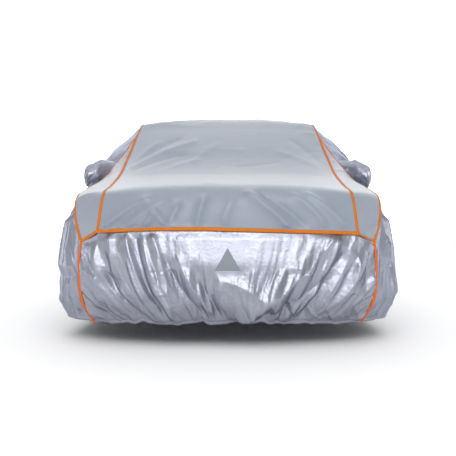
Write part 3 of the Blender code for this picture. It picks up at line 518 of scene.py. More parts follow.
class Lines:
    """The tables as curves along the car, all read with one length s from front to rear."""

    def __init__(self):
        table = np.array([line[1:] for line in TOP_LINES])
        zeros = np.zeros((len(table), 1))
        self.centre = np.hstack((zeros, table[:, 0:2]))
        self.seam = table[:, 2:5]
        self.edge = table[:, 5:8]
        self.knots = chords((self.centre + self.seam) / 2)
        s_of = {line.name: s for line, s in zip(TOP_LINES, self.knots)}
        self.side_knots = np.array([s_of[line.name] for line in SIDE_LINES])
        self.side = np.array([line[1:] for line in SIDE_LINES])
        pieces = []
        for line, start, end in zip(TOP_LINES, self.knots, self.knots[1:]):
            steps = math.ceil((end - start) / FINE_STEPS.get(line.name, STATION_STEP))
            pieces.append(start + (end - start) * np.arange(steps) / steps)
        self.stations = np.concatenate([*pieces, self.knots[-1:]])
        front_tip = int(np.argmin(abs(self.stations - s_of["front tip"])))
        rear_tip = int(np.argmin(abs(self.stations - s_of["rear tip"])))
        self.spans = {
            "front": np.arange(0, front_tip + 1),
            "rear": np.arange(rear_tip, len(self.stations)),
        }

    def top(self, rail, s):
        return spline(rail, self.knots, s)

    def side_line(self, s):
        """The side's own line down from the edge seam to the hem."""
        top = self.top(self.edge, s)[0]
        belt_x, belt_z, waist_x, waist_y, hem_x, hem_y, hem_z = spline(
            self.side, self.side_knots, s
        )[0]
        belt_y = top[1] + (waist_y - top[1]) * (top[2] - belt_z) / (top[2] - WAIST_Z)
        share = (WAIST_Z - SILL_Z) / (WAIST_Z - hem_z)
        sill_y = waist_y + (hem_y - waist_y) * share**3
        return even_line(
            [
                top,
                (belt_x, belt_y, belt_z),
                (waist_x, waist_y, WAIST_Z),
                (waist_x - SILL_INSET, sill_y, SILL_Z),
                (hem_x, hem_y, hem_z),
            ],
            SKIRT_ROWS,
        )


LINES = Lines()


def hem_sway(x, s):
    """How far the front flap is drawn up or down near its hem."""
    places, heights = zip(*HEM_SWAY)
    return np.interp(x, places, heights) * (1 - smooth_step(s / HEM_SWAY_REACH))[:, None]


def centre_grid():
    """Points along (first axis) and across the padded centre panel."""
    centre = LINES.top(LINES.centre, LINES.stations)[:, None]
    seam = LINES.top(LINES.seam, LINES.stations)[:, None]
    v = np.linspace(-1, 1, CENTRE_COLUMNS + 1)[None]
    y = centre[..., 1] + (seam[..., 1] - centre[..., 1]) * abs(v) ** CROWN_POWER_Y
    z = centre[..., 2] + (seam[..., 2] - centre[..., 2]) * abs(v) ** CROWN_POWER_Z
    x = v * seam[..., 0]
    return np.stack((x, y, z + hem_sway(x, LINES.stations)), axis=-1)


def shoulder_grid(end, sign):
    """Points along and across a shoulder panel, from the centre panel's seam outwards."""
    s = LINES.stations[LINES.spans[end]]
    seam, edge = LINES.top(LINES.seam, s), LINES.top(LINES.edge, s)
    from_hem = np.minimum(s, LINES.stations[-1] - s)
    height = SHOULDER_CROWN * smooth_step(from_hem / SHOULDER_CROWN_START)
    height *= np.minimum(1.0, np.linalg.norm(edge - seam, axis=1) / SHOULDER_FULL_WIDTH)
    v = np.linspace(0, 1, SHOULDER_COLUMNS + 1)[None, :, None]
    crown = height[:, None, None] * 4 * v * (1 - v) * np.array((1, 0, 1)) / math.sqrt(2)
    grid = seam[:, None] * (1 - v) + edge[:, None] * v + crown
    grid[..., 0] *= sign
    grid[..., 2] += hem_sway(grid[..., 0], s)
    return grid


def side_grid(sign):
    """Points along a silver side panel and down it."""
    grid = np.array([LINES.side_line(s) for s in LINES.stations])
    along = LINES.stations / LINES.stations[-1]
    down = np.linspace(0, 1, SKIRT_ROWS + 1)[None]
    swing = sum(w.height * np.sin(2 * math.pi * w.count * along + sign) for w in SIDE_WAVES)
    swing = (swing * np.sin(math.pi * along))[:, None]
    y, z = grid[..., 1], grid[..., 2]
    out = TENT.reach * bell((y - TENT.y) / TENT.length) * bell((z - TENT.z) / TENT.height)
    out *= smooth_step(down / TENT.spread)
    run_y, run_z = RIDGE.end_y - RIDGE.start_y, RIDGE.end_z - RIDGE.start_z
    off_y, off_z = y - RIDGE.start_y, z - RIDGE.start_z
    length = math.hypot(run_y, run_z)
    share = np.clip((off_y * run_y + off_z * run_z) / length**2, 0.0, 1.0)
    across = (off_y * run_z - off_z * run_y) / length
    height = RIDGE.reach * np.sin(math.pi * share) ** RIDGE.power
    out += height * bell(across / RIDGE.width) * smooth_step(down / RIDGE.spread)
    grid[..., 0] += out + swing * smooth_step((down - WAVE_START) / WAVE_SPREAD)
    grid[..., 0] *= sign
    return grid


def end_grid(at, middle, corner, columns):
    """Points down an end skirt and across it, between its two corner seams."""
    s = LINES.stations[at]
    centre, seam, edge = (
        LINES.top(rail, s)[0] for rail in (LINES.centre, LINES.seam, LINES.edge)
    )
    v = np.linspace(-1, 1, columns + 1)
    middle_line = even_line([(0, y, z) for y, z in middle], SKIRT_ROWS)
    bow = (abs(v) ** END_BOW_POWER)[None]
    grid = np.empty((SKIRT_ROWS + 1, columns + 1, 3))
    grid[..., 0] = v[None] * corner[:, None, 0]
    for axis in (1, 2):
        grid[..., axis] = middle_line[:, None, axis] * (1 - bow) + corner[:, None, axis] * bow

    x = v * edge[0]
    inner = np.minimum(abs(x) / seam[0], 1.0)
    outer = np.clip((abs(x) - seam[0]) / (edge[0] - seam[0]), 0.0, 1.0)
    hem = np.empty((columns + 1, 3))
    hem[:, 0] = x
    for axis, power in ((1, CROWN_POWER_Y), (2, CROWN_POWER_Z)):
        on_centre = centre[axis] + (seam[axis] - centre[axis]) * inner**power
        hem[:, axis] = on_centre + (edge[axis] - seam[axis]) * outer
    fade = (1 - np.arange(SKIRT_ROWS + 1) / SKIRT_ROWS) ** FLAP_MATCH_POWER
    return grid + (hem - grid[0])[None] * fade[:, None, None]


def pocket_grid(sign):
    """Points out along a mirror pocket's sleeve and round it."""
    table = np.array(POCKET_RINGS)
    knots = chords(table)
    rings = spline(table, knots, np.linspace(0, knots[-1], POCKET_LENGTHS + 1))
    angle = 2 * math.pi * np.arange(POCKET_SIDES + 1) / POCKET_SIDES
    c, s = np.cos(angle)[None], np.sin(angle)[None]
    sleeve = (POCKET_RINGS[1].x, POCKET_RINGS[2].x)
    power = np.interp(rings[:, 0], sleeve, (POCKET_SQUARENESS, POCKET_ROUNDNESS))[:, None]
    reach = (abs(c) ** power + abs(s) ** power) ** (-1 / power)
    x = np.repeat(rings[:, 0:1], POCKET_SIDES + 1, axis=1) * sign
    y = rings[:, 1:2] + rings[:, 3:4] * c * reach
    z = rings[:, 2:3] + rings[:, 4:5] * s * reach
    return np.stack((x, y, z), axis=-1)


def grid_normals(grid, outward):
    """The outward direction square to a grid at each of its points."""
    normals = unit(np.cross(np.gradient(grid, axis=0), np.gradient(grid, axis=1)))
    middle = normals[len(normals) // 2].mean(axis=0)
    return normals if middle @ outward > 0 else -normals


def cloth_places(grid):
    """How far each point lies along a grid's first and second axes, over the cloth."""
    first = np.linalg.norm(np.diff(grid, axis=0), axis=2)
    second = np.linalg.norm(np.diff(grid, axis=1), axis=2)
    a = np.vstack((np.zeros((1, grid.shape[1])), np.cumsum(first, axis=0)))
    b = np.hstack((np.zeros((grid.shape[0], 1)), np.cumsum(second, axis=1)))
    return a, b


# ---- relief ----

def fold_height(folds, a, b):
    """The sum of the folds' heights at places a, b."""
    total = np.zeros(a.shape)
    for fold in folds:
        run_a, run_b = fold.foot_a - fold.head_a, fold.foot_b - fold.head_b
        length = math.hypot(run_a, run_b)
        fade = min(FOLD_FADE, length / 2)
        reach = length / 2 + fade + 4 * fold.width + abs(fold.bow)
        mid_a, mid_b = (fold.head_a + fold.foot_a) / 2, (fold.head_b + fold.foot_b) / 2
        near = np.nonzero((abs(a - mid_a) < reach) & (abs(b - mid_b) < reach))
        off_a, off_b = a[near] - fold.head_a, b[near] - fold.head_b
        along = (off_a * run_a + off_b * run_b) / length**2
        across = (run_a * off_b - run_b * off_a) / length - fold.bow * 4 * along * (1 - along)
        ends = smooth_step(along * length / fade + 0.5)
        ends = ends * smooth_step((1 - along) * length / fade + 0.5)
        total[near] += fold.height * ends * np.exp(-(abs(across / fold.width) ** fold.edge))
    return total


def value_noise(u, v, table):
    """Smooth noise from 0 to 1, with one random value to each whole step of u and v."""
    first_u, first_v = np.floor(u).astype(int), np.floor(v).astype(int)
    share_u, share_v = smooth_step(u - first_u), smooth_step(v - first_v)
    size = len(table)
    near = table[first_u % size, first_v % size] * (1 - share_u)
    near += table[(first_u + 1) % size, first_v % size] * share_u
    far = table[first_u % size, (first_v + 1) % size] * (1 - share_u)
    far += table[(first_u + 1) % size, (first_v + 1) % size] * share_u
    return near * (1 - share_v) + far * share_v


def pleated(kinds, across, along, random):
    """Sharp ridges and grooves along a flow, from the places across and along it."""
    total = np.zeros(across.shape)
    for kind in kinds:
        sway, ridges, grooves = random.random((3, NOISE_CELLS, NOISE_CELLS))
        places = across / WANDER_STEPS[0], along / WANDER_STEPS[1]
        shift = kind.wander * (2 * value_noise(*places, sway) - 1)
        u, v = (across + shift) / kind.spacing, along / kind.length
        crest = abs(2 * value_noise(u, v, ridges) - 1)
        trough = abs(2 * value_noise(u + 0.5, v + 0.5, grooves) - 1)
        total += kind.height * PLEAT_GAIN * (trough - crest)
    return total


def scattered(kinds, a, b, heading, random):
    """Random folds over a cloth, each lying near the heading that its place has."""
    folds = []
    area = (a.max() - a.min()) * (b.max() - b.min())
    for kind in kinds:
        for _ in range(int(kind.density * area)):
            mid_a, mid_b = random.uniform(a.min(), a.max()), random.uniform(b.min(), b.max())
            angle = heading(mid_a, mid_b) + random.normal(0, kind.spread)
            half = random.uniform(*kind.length) / 2
            step_a, step_b = half * math.cos(angle), half * math.sin(angle)
            height = random.uniform(*kind.height) * random.choice((-1, 1, 1))
            bow, width = random.normal(0, SCATTER_BOW) * half, random.uniform(*kind.width)
            head, foot = (mid_a - step_a, mid_b - step_b), (mid_a + step_a, mid_b + step_b)
            folds.append(Fold(*head, *foot, bow, width, height, kind.edge))
    return folds


def from_border(kind, start, end, inward, random, overrun=0.0):
    """Random folds that start at a straight border of the cloth and run into it."""
    start, end = np.array(start, float), np.array(end, float)
    run = end - start
    folds = []
    count = int(kind.density * np.linalg.norm(run))
    for i in range(count):
        head = start + run * (i + random.uniform(-BORDER_JITTER, BORDER_JITTER)) / count
        angle = inward + random.normal(0, kind.spread)
        way = np.array((math.cos(angle), math.sin(angle)))
        foot = head + way * random.uniform(*kind.length)
        head = head - way * overrun
        height = random.uniform(*kind.height) * random.choice((-1, 1))
        bow, width = random.normal(0, BORDER_BOW), random.uniform(*kind.width)
        folds.append(Fold(*head, *foot, bow, width, height, kind.edge))
    return folds


# ---- pieces ----

def cover_sizes():
    return bpy.context.scene.cover_sizes


def add_object(name, data):
    obj = bpy.data.objects.new(name, data)
    bpy.context.scene.collection.objects.link(obj)
    return obj


def grid_object(name, grid, outward, finish, places=None, keep=None):
    """A mesh on a grid of points, faces outwards, with its cloth places as UV in metres."""
    rows, columns = grid.shape[:2]
    index = np.arange(rows * columns).reshape(rows, columns)
    quads = np.stack((index[:-1, :-1], index[1:, :-1], index[1:, 1:], index[:-1, 1:]), axis=-1)
    if keep is not None:
        quads = quads[keep[:-1, :-1] | keep[1:, :-1] | keep[1:, 1:] | keep[:-1, 1:]]
    quads = quads.reshape(-1, 4)
    points = grid.reshape(-1, 3) - ORIGIN
    corner = points[quads]
    facing = np.cross(corner[:, 2] - corner[:, 0], corner[:, 3] - corner[:, 1])
    if (facing @ outward).sum() < 0:
        quads = quads[:, ::-1]
    first, second = cloth_places(grid) if places is None else places
    uv = np.stack((second, first), axis=-1).reshape(-1, 2)
    mesh = bpy.data.meshes.new(name)
    mesh.from_pydata(points.tolist(), [], quads.tolist())
    layer = mesh.uv_layers.new(name="cloth")
    loops = np.empty(len(mesh.loops), dtype=np.int32)
    mesh.loops.foreach_get("vertex_index", loops)
    layer.data.foreach_set("uv", uv[loops].ravel())
    mesh.materials.append(finish_of(finish))
    mesh.shade_smooth()
    return add_object(name, mesh)


def join_doubles(obj):
    """Closes a tube along its seam and at its tip, and turns its faces outwards."""
    shape = bmesh.new()
    shape.from_mesh(obj.data)
    bmesh.ops.remove_doubles(shape, verts=shape.verts, dist=1e-5)
    bmesh.ops.dissolve_degenerate(shape, edges=shape.edges, dist=1e-6)
    bmesh.ops.recalc_face_normals(shape, faces=shape.faces)
    shape.to_mesh(obj.data)
    shape.free()


def thicken(obj, thickness):
    wall = obj.modifiers.new("thickness", "SOLIDIFY")
    wall.thickness = thickness
    wall.offset = -1.0
    return obj


def finish_piece(obj, replaced):
    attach(obj, BODY)
    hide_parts(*replaced)


def declare_sheet(grid):
    """Works out the cloth's flat cut: its longest lines each way, and its area before it was
    creased. These are not kept or passed on.
    """
    first, second = cloth_places(grid)
    length, width = float(first[-1].max()), float(second[:, -1].max())
    sides = np.cross(
        grid[1:, 1:] - grid[:-1, :-1], grid[1:, :-1] - grid[:-1, 1:]
    )
    area = float(np.linalg.norm(sides, axis=2).sum() / 2)
    area = min(max(area, 0.3 * width * length), width * length)


def inward_points(run, distance):
    """The points at a distance over the cloth from the first column of a run of lines."""
    found = np.empty((len(run), 3))
    for k, line in enumerate(run):
        lengths = chords(line)
        for axis in range(3):
            found[k, axis] = np.interp(distance, lengths, line[:, axis])
    return found


def along_border(grid, border):
    """The grid turned so that its first axis runs along a border, and its second inwards."""
    turned = grid if border in ("first column", "last column") else grid.swapaxes(0, 1)
    return turned if border.startswith("first") else turned[:, ::-1]


# A panel's smooth grid, with its normals and the places a and b over the cloth
Cloth = namedtuple("Cloth", "grid normals outward a b")
BUILT = {}

# What a panel in each slot is made of, and how it is held
Fabric = namedtuple("Fabric", "finish thickness held")
FABRICS = {
    "padding": Fabric("padded_polyester_oxford", "pad_thickness", "draped"),
    "silver_cloth": Fabric("silver_coated_taffeta", "cloth_thickness", "hung"),
}


def panel(name, grid, outward):
    """Keeps a panel's smooth cloth for the tapes that are laid over it."""
    BUILT[name] = Cloth(grid, grid_normals(grid, outward), outward, *cloth_places(grid))
    return BUILT[name]


def raised(cloth, relief):
    return cloth.grid + cloth.normals * relief[..., None]


def sew(slot, name, node, cloth, made, keep=None, closed=False):
    fabric = FABRICS[slot]
    obj = grid_object(name, made, cloth.outward, fabric.finish, (cloth.a, cloth.b), keep)
    if closed:
        join_doubles(obj)
    thicken(obj, getattr(cover_sizes(), fabric.thickness))
    finish_piece(obj, [node])
    declare_sheet(cloth.grid)


def tape_grid(left, right, half_width, lift):
    """Tape over a seam, from two runs of lines that each start at it, with their normals."""
    crown = unit(left[1][:, 0] + right[1][:, 0])
    columns = []
    for across, height in TAPE_SHAPE:
        run, normals = left if across < 0 else right
        share = abs(across)
        direction = crown * (1 - share) + normals[:, 1] * share
        columns.append(inward_points(run, share * half_width) + direction * height * lift)
    return np.stack(columns, axis=1)


def hanging_run(run):
    """A run of lines that goes straight on past the border, for a wing that hangs free."""
    step = unit(run[:, 0] - run[:, 1])
    return np.stack([run[:, 0] + step * d for d in WING_STEPS], axis=1)


def border_pair(name, border):
    cloth = BUILT[name]
    return along_border(cloth.grid, border), along_border(cloth.normals, border)


# ---- materials ----

def set_inputs(tree, node, inputs):
    """Sets a node's inputs, or links those whose value is a socket."""
    for name, value in inputs.items():
        socket = node.inputs[name]
        if isinstance(value, bpy.types.NodeSocket):
            tree.links.new(value, socket)
        else:
            socket.default_value = value


def add_node(tree, kind, options=None, inputs=None):
    """Adds a node, sets its options, and sets or links its inputs."""
    node = tree.nodes.new(kind)
    for name, value in (options or {}).items():
        setattr(node, name, value)
    set_inputs(tree, node, inputs or {})
    return node


def noise(tree, place, scale, **inputs):
    return add_node(
        tree, "ShaderNodeTexNoise", None, {"Vector": place, "Scale": scale, **inputs}
    ).outputs["Fac"]


def cells(tree, place, scale, feature="F1"):
    return add_node(
        tree, "ShaderNodeTexVoronoi", {"feature": feature}, {"Vector": place, "Scale": scale}
    ).outputs["Distance"]


def ribs(tree, axis, place, scale, distortion):
    return add_node(tree, "ShaderNodeTexWave", {"bands_direction": axis}, {
        "Vector": place, "Scale": scale, "Distortion": distortion}).outputs["Fac"]


def bump(tree, height, strength, distance, **inputs):
    return add_node(tree, "ShaderNodeBump", None, {
        "Height": height, "Strength": strength, "Distance": distance, **inputs}).outputs[0]


def product(tree, first, second):
    return add_node(
        tree, "ShaderNodeMath", {"operation": "MULTIPLY"}, {0: first, 1: second}
    ).outputs[0]


def shaded(tree, colour, value, dark, light):
    """A colour that varies between a darker and a lighter one of itself with a value."""
    ramp = add_node(tree, "ShaderNodeMix", {"data_type": "RGBA"}, {"Factor": value})
    ramp.inputs[6].default_value = (*[c * dark for c in colour], 1)
    ramp.inputs[7].default_value = (*[min(1, c * light) for c in colour], 1)
    return ramp.outputs[2]


def in_metres(tree, scale):
    """The cloth's own places in metres, scaled so that 1 is one repeat."""
    uv = add_node(tree, "ShaderNodeUVMap", {"uv_map": "cloth"})
    return add_node(
        tree, "ShaderNodeMapping", None, {"Vector": uv.outputs[0], "Scale": (scale, scale, scale)}
    ).outputs[0]


def in_object(tree):
    return add_node(tree, "ShaderNodeTexCoord").outputs["Object"]


def padded_oxford(tree, colour):
    """Polyester oxford over foam: a matte, coated plain weave with a soft satin sheen."""
    cloth = in_metres(tree, 1.0)
    soft = noise(tree, cloth, 5.0, Detail=4.0, Roughness=0.55)
    # Threads are about 0.5 mm; they are drawn 2.5 mm apart, or they wouldn't show
    warp, weft = (ribs(tree, axis, in_metres(tree, 400.0), 0.16, 0.6) for axis in "XY")
    dents = bump(tree, noise(tree, cloth, 16.0, Detail=3.0), 0.35, 0.004)
    return {
        "Base Color": shaded(tree, colour, soft, 0.92, 1.08),
        "Normal": bump(tree, product(tree, warp, weft), 0.25, 0.0006, Normal=dents),
        "Roughness": 0.42,
        "Sheen Weight": 0.15,
        "Sheen Roughness": 0.4,
    }


def silver_taffeta(tree, colour):
    """Aluminium-coated polyester taffeta: thin, half metallic, crinkled all over."""
    cloth = in_metres(tree, 1.0)
    tone = noise(tree, cloth, 7.0, Detail=5.0, Roughness=0.6)
    crumple = noise(tree, cloth, 34.0, Detail=5.0, Roughness=0.62, Distortion=0.8)
    creases = bump(tree, crumple, 0.33, 0.006)
    facets = cells(tree, cloth, 48.0, "DISTANCE_TO_EDGE")
    worn = add_node(
        tree, "ShaderNodeMapRange", None, {"Value": tone, "To Min": 0.25, "To Max": 0.41}
    )
    return {
        "Base Color": shaded(tree, colour, tone, 0.88, 1.1),
        "Normal": bump(tree, facets, 0.17, 0.004, Normal=creases),
        "Roughness": worn.outputs[0],
        "Metallic": 0.8,
        "Specular Tint": (0.50, 0.55, 0.64, 1),
    }


def woven_tape(tree, colour):
    """Polyester grosgrain tape: matte, with a fine rib across its length."""
    # Ribs are about 1 mm apart; they are drawn at 3 mm, or they wouldn't show
    rib = ribs(tree, "Y", in_metres(tree, 100.0), 0.5, 0.3)
    tone = noise(tree, in_metres(tree, 1.0), 30.0, Detail=3.0)
    return {
        "Base Color": shaded(tree, colour, tone, 0.86, 1.1),
        "Normal": bump(tree, rib, 0.3, 0.0006),
        "Roughness": 0.72,
        "Specular IOR Level": 0.3,
    }


def polyester_thread(tree, colour):
    """Bonded polyester thread: a slight gloss on its twist."""
    twist = noise(tree, in_object(tree), 900.0)
    return {"Base Color": shaded(tree, colour, twist, 0.8, 1.1), "Roughness": 0.42}


def reflective_fabric(tree, colour):
    """Glass-bead reflective fabric: flat grey with a very fine grain."""
    beads = cells(tree, in_object(tree), 420.0)
    return {
        "Base Color": shaded(tree, colour, beads, 0.94, 1.04),
        "Normal": bump(tree, beads, 0.15, 0.0005),
        "Roughness": 0.6,
    }


def studio_paper(tree, colour):
    """Matte seamless paper: no gloss, even white."""
    grain = noise(tree, in_object(tree), 60.0)
    return {"Base Color": shaded(tree, colour, grain, 0.99, 1.01), "Roughness": 0.9}


# Each finish: what makes its look, and which of the colour settings it takes
FINISHES = {
    "padded_polyester_oxford": (padded_oxford, "padding"),
    "silver_coated_taffeta": (silver_taffeta, "silver"),
    "orange_grosgrain": (woven_tape, "tape"),
    "corner_grosgrain": (woven_tape, "corner_tape"),
    "polyester_thread": (polyester_thread, "thread"),
    "reflective_bead_fabric": (reflective_fabric, "patch"),
    "seamless_paper": (studio_paper, "paper"),
}


def finish_of(name):
    """A finish by its name, made the first time that it is asked for."""
    material = bpy.data.materials.get(name)
    if material is None:
        look, colour = FINISHES[name]
        material = bpy.data.materials.new(name)
        material.use_nodes = True
        tree = material.node_tree
        inputs = look(tree, getattr(bpy.context.scene.cover_colours, colour))
        set_inputs(tree, tree.nodes["Principled BSDF"], inputs)
    return material


# ---- the padded panels ----

def padding_folds(cloth, heading, seed):
    """The height of soft folds scattered over a padded panel."""
    random = np.random.default_rng(seed)
    folds = scattered(PADDING_SCATTER, cloth.a, cloth.b, lambda a, b: heading, random)
    return fold_height(folds, cloth.a, cloth.b)


def make_centre():
    cloth = panel("centre", centre_grid(), UP)
    x, y, z = np.moveaxis(cloth.grid, -1, 0)
    relief = np.zeros(y.shape)
    for folds, (start, end), gain in SOFT_FOLDS:
        relief += np.where((y > start) & (y < end), gain * fold_height(folds, x, z), 0.0)
    relief += padding_folds(cloth, CENTRE_HEADING, CENTRE_SEED)
    relief *= smooth_step(from_sides(cloth.b) / CENTRE_SEAM_FADE)
    relief *= smooth_step(from_ends(cloth.a) / SEAM_FADE)
    sew("padding", "padded_centre", "centre_panel", cloth, raised(cloth, relief))


def make_shoulder(end, word, seed):
    name = f"{end}_shoulder_{word}"
    outward = UP + np.array((SIDES[word], 0, 0))
    cloth = panel(name, shoulder_grid(end, SIDES[word]), outward)
    relief = padding_folds(cloth, SHOULDER_HEADING, seed)
    relief *= SHOULDER_GAIN * smooth_step(from_sides(cloth.b) / SEAM_FADE)
    sew("padding", f"padded_{name}", name, cloth, raised(cloth, relief))


# ---- the silver cloth ----

def hem_casing(from_hem):
    """A stitched casing along a hem: a roll with a groove above it."""
    roll = bell((from_hem - CASING.roll_at) / CASING.roll_width)
    groove = bell((from_hem - CASING.groove_at) / CASING.groove_width)
    return CASING.height * (roll - groove)


def held_hem(from_hem):
    """Less relief right at the hem, whose gathers keep it in line."""
    return 1 - HEM_HOLD * bell(from_hem / HEM_HOLD_REACH)


def growing(start, fallen):
    """The share of its pleats that cloth has, from its top down."""
    return start.share + (1 - start.share) * smooth_step(fallen / start.full_at)


def off_patch(x, z):
    """0 on the reflective patch, where the cloth lies flat, growing to 1 round it."""
    distance = np.hypot(x, z - (PATCH_TOP_Z + PATCH_BASE_Z) / 2)
    return smooth_step((distance - PATCH_WIDTH / 2) / PATCH_FLAT_REACH)


def calm(x, z):
    """Less relief where the cloth is drawn smooth over the nose, and all of it elsewhere."""
    below = smooth_step((CALM.foot_z - z) / CALM.below)
    beside = smooth_step((abs(x - CALM.x) - CALM.half_width) / CALM.beside)
    return CALM.share + (1 - CALM.share) * np.maximum(below, beside)


def skirt_heading(width):
    """Folds of an end skirt lean towards the middle of its hem as they fall."""
    return lambda a, b: math.atan2(-(b / width - 0.5) * 2 * SKIRT_LEAN, 1.0)


def silver_creases(cloth, heading, seams, random):
    """Creases scattered over the silver cloth, and pucker along its seams."""
    creases = scattered(SILVER_SCATTER, cloth.a, cloth.b, heading, random)
    for start, end, inward in seams:
        creases += from_border(SEAM_PUCKER, start, end, inward, random)
    return creases


def make_end_skirt(end, at, middle, folds, columns, seed):
    sizes = cover_sizes()
    name = f"{end}_skirt"
    corner = BUILT["side_panel_right"].grid[at]
    cloth = panel(name, end_grid(at, middle, corner, columns), ENDS[end][0])
    grid, a, b = cloth.grid, cloth.a, cloth.b
    x, z = grid[..., 0], grid[..., 2]
    random = np.random.default_rng(seed)
    width, drop = float(b[0, -1]), float(a[-1].mean())
    seams = [
        ((0, 0), (drop, 0), math.pi / 2),
        ((0, width), (drop, width), -math.pi / 2),
        ((0, 0), (0, width), 0.0),
    ]
    creases = silver_creases(cloth, skirt_heading(width), seams, random)
    creases += from_border(HEM_GATHER, (drop, 0), (drop, width), math.pi, random, HEM_OVERRUN)
    fallen = a / a[-1:]
    across = x / (1 - GATHER * fallen**GATHER_POWER)
    waves = pleated(END_PLEATS, across, a, random) + fold_height(creases, a, b)
    waves *= growing(END_START, fallen)
    relief = fold_height(folds, x, z) + sizes.creasing * waves
    if end == "front":
        relief *= off_patch(x, z) * calm(x, z)
    edge, from_hem = from_sides(b), a[-1:] - a
    relief *= smooth_step(edge / SEAM_FADE) * smooth_step(a / SKIRT_TOP_FADE)
    relief *= held_hem(from_hem)
    relief += hem_casing(from_hem)
    behind = (1 - smooth_step(a / FLAP_GAP_REACH)) * smooth_step(edge / FLAP_GAP_FADE)
    made = raised(cloth, relief - sizes.flap_gap * behind)
    table = random.random((NOISE_CELLS, NOISE_CELLS))
    rise = 2 * value_noise(x / HEM_RISE_STEP, a, table) - 1
    rise *= bell(from_hem / HEM_RISE_REACH) * smooth_step(edge / HEM_RISE_FADE)
    made[..., 2] += HEM_RISE * rise
    BUILT[f"{name}_creased"] = cloth._replace(grid=made)
    sew("silver_cloth", f"silver_{name}", name, cloth, made)


def make_side_panel(word, sign, seed):
    sizes = cover_sizes()
    name = f"side_panel_{word}"
    cloth = panel(name, side_grid(sign), np.array((sign, 0.0, 0.0)))
    a, b = cloth.a, cloth.b
    y, z = cloth.grid[..., 1], cloth.grid[..., 2]
    random = np.random.default_rng(seed)
    length, drop = float(a[-1].max()), b[:, -1]
    seams = [
        ((0, 0), (length, 0), math.pi / 2),
        ((0, 0), (0, drop[0]), 0.0),
        ((length, 0), (length, drop[-1]), math.pi),
    ]
    creases = silver_creases(cloth, lambda p, q: SIDE_HEADING, seams, random)
    waves = pleated(SIDE_PLEATS, a + SIDE_LEAN * b, b, random)
    waves *= growing(SIDE_START, b / b[:, -1:])
    relief = (waves + fold_height(creases, a, b)) * sizes.creasing
    relief += fold_height(SIDE_FOLDS[word], y, z)
    from_hem = b[:, -1:] - b
    gather = from_border(HEM_GATHER, (0, 0), (length, 0), math.pi / 2, random, HEM_OVERRUN)
    relief += fold_height(gather, a, from_hem)
    relief -= SIDE_INSET * smooth_step((SIDE_INSET_TOP - z) / SIDE_INSET_FADE)
    relief *= smooth_step(b / SEAM_FADE) * smooth_step(from_ends(a) / SEAM_FADE)
    relief *= held_hem(from_hem)
    flare = smooth_step((HEM_FLARE_TOP - z) / HEM_FLARE_FADE)
    flare *= smooth_step(from_ends(a) / HEM_FLARE_START)
    relief += HEM_FLARE * flare + hem_casing(from_hem)
    ring = POCKET_RINGS[1]
    inside = (
        (abs(y - ring.y) / (ring.half_length - HOLE_MARGIN)) ** POCKET_SQUARENESS
        + (abs(z - ring.z) / (ring.half_height - HOLE_MARGIN)) ** POCKET_SQUARENESS
    ) < 1
    made = raised(cloth, relief)
    sew("silver_cloth", f"silver_{name}", name, cloth, made, keep=~inside)


def make_pocket(word, sign, seed):
    grid = pocket_grid(sign)
    normals = unit(grid - grid.mean(axis=1, keepdims=True), 1e-9)
    cloth = Cloth(grid, normals, np.array((sign, 0.0, 0.0)), *cloth_places(grid))
    relief = pleated(POCKET_PLEATS, cloth.b, cloth.a, np.random.default_rng(seed))
    relief *= smooth_step(from_sides(cloth.b) / POCKET_SEAM_FADE)
    # The end cap is sewn on along a curved seam, and lies a little lower than the sleeve
    inwards = np.maximum(0.0, CAP.x - abs(grid[..., 0])) / CAP.run
    below_seam = CAP.z - CAP.fall * inwards**2 - grid[..., 2]
    on_cap = smooth_step((CAP.reach - inwards) / CAP.fade)
    relief -= CAP.recess * smooth_step(below_seam / CAP.step) * on_cap
    relief -= CAP.groove * bell(below_seam / CAP.groove_width)
    made = raised(cloth, relief)
    made[:, -1] = made[:, 0]
    made[-1] = made[-1].mean(axis=0)
    name = f"mirror_pocket_{word}"
    sew("silver_cloth", f"silver_{name}", name, cloth, made, closed=True)


def make_patch():
    """The reflective triangle, laid on the flat of the front skirt."""
    skirt = BUILT["front_skirt_creased"].grid
    middle = skirt[::-1, skirt.shape[1] // 2]
    down = np.linspace(0, 1, PATCH_STEPS + 1)[:, None]
    across = np.linspace(-1, 1, PATCH_STEPS + 1)[None]
    x = PATCH_WIDTH / 2 * np.maximum(down, PATCH_TIP) * across
    z = PATCH_TOP_Z - (PATCH_TOP_Z - PATCH_BASE_Z) * down + 0 * across
    y = np.interp(z, middle[:, 2], middle[:, 1]) - PATCH_LIFT
    grid = np.stack((x, y, z), axis=-1)
    obj = grid_object("reflective_triangle", grid, FORWARD, "reflective_bead_fabric")
    thicken(obj, PATCH_THICKNESS)
    finish_piece(obj, ["reflective_patch"])


# ---- tapes and stitches ----

def lay_tape(name, node, left, right, width, outward, finish="orange_grosgrain"):
    """One length of tape over a seam. Returns the two lines along which it is stitched."""
    sizes = cover_sizes()
    grid = tape_grid(left, right, width / 2, sizes.tape_lift)
    obj = thicken(grid_object(name, grid, outward, finish), sizes.tape_thickness)
    finish_piece(obj, [node])
    return [grid[:, column] for column in TAPE_STITCHED]


def joined(parts):
    """The left shoulder's, the centre's and the right shoulder's lines as one run."""
    short = min(part.shape[1] for part in parts)
    left, centre, right = (part[:, :short] for part in parts)
    return np.concatenate((left[::-1][:-1], centre, right[1:]))


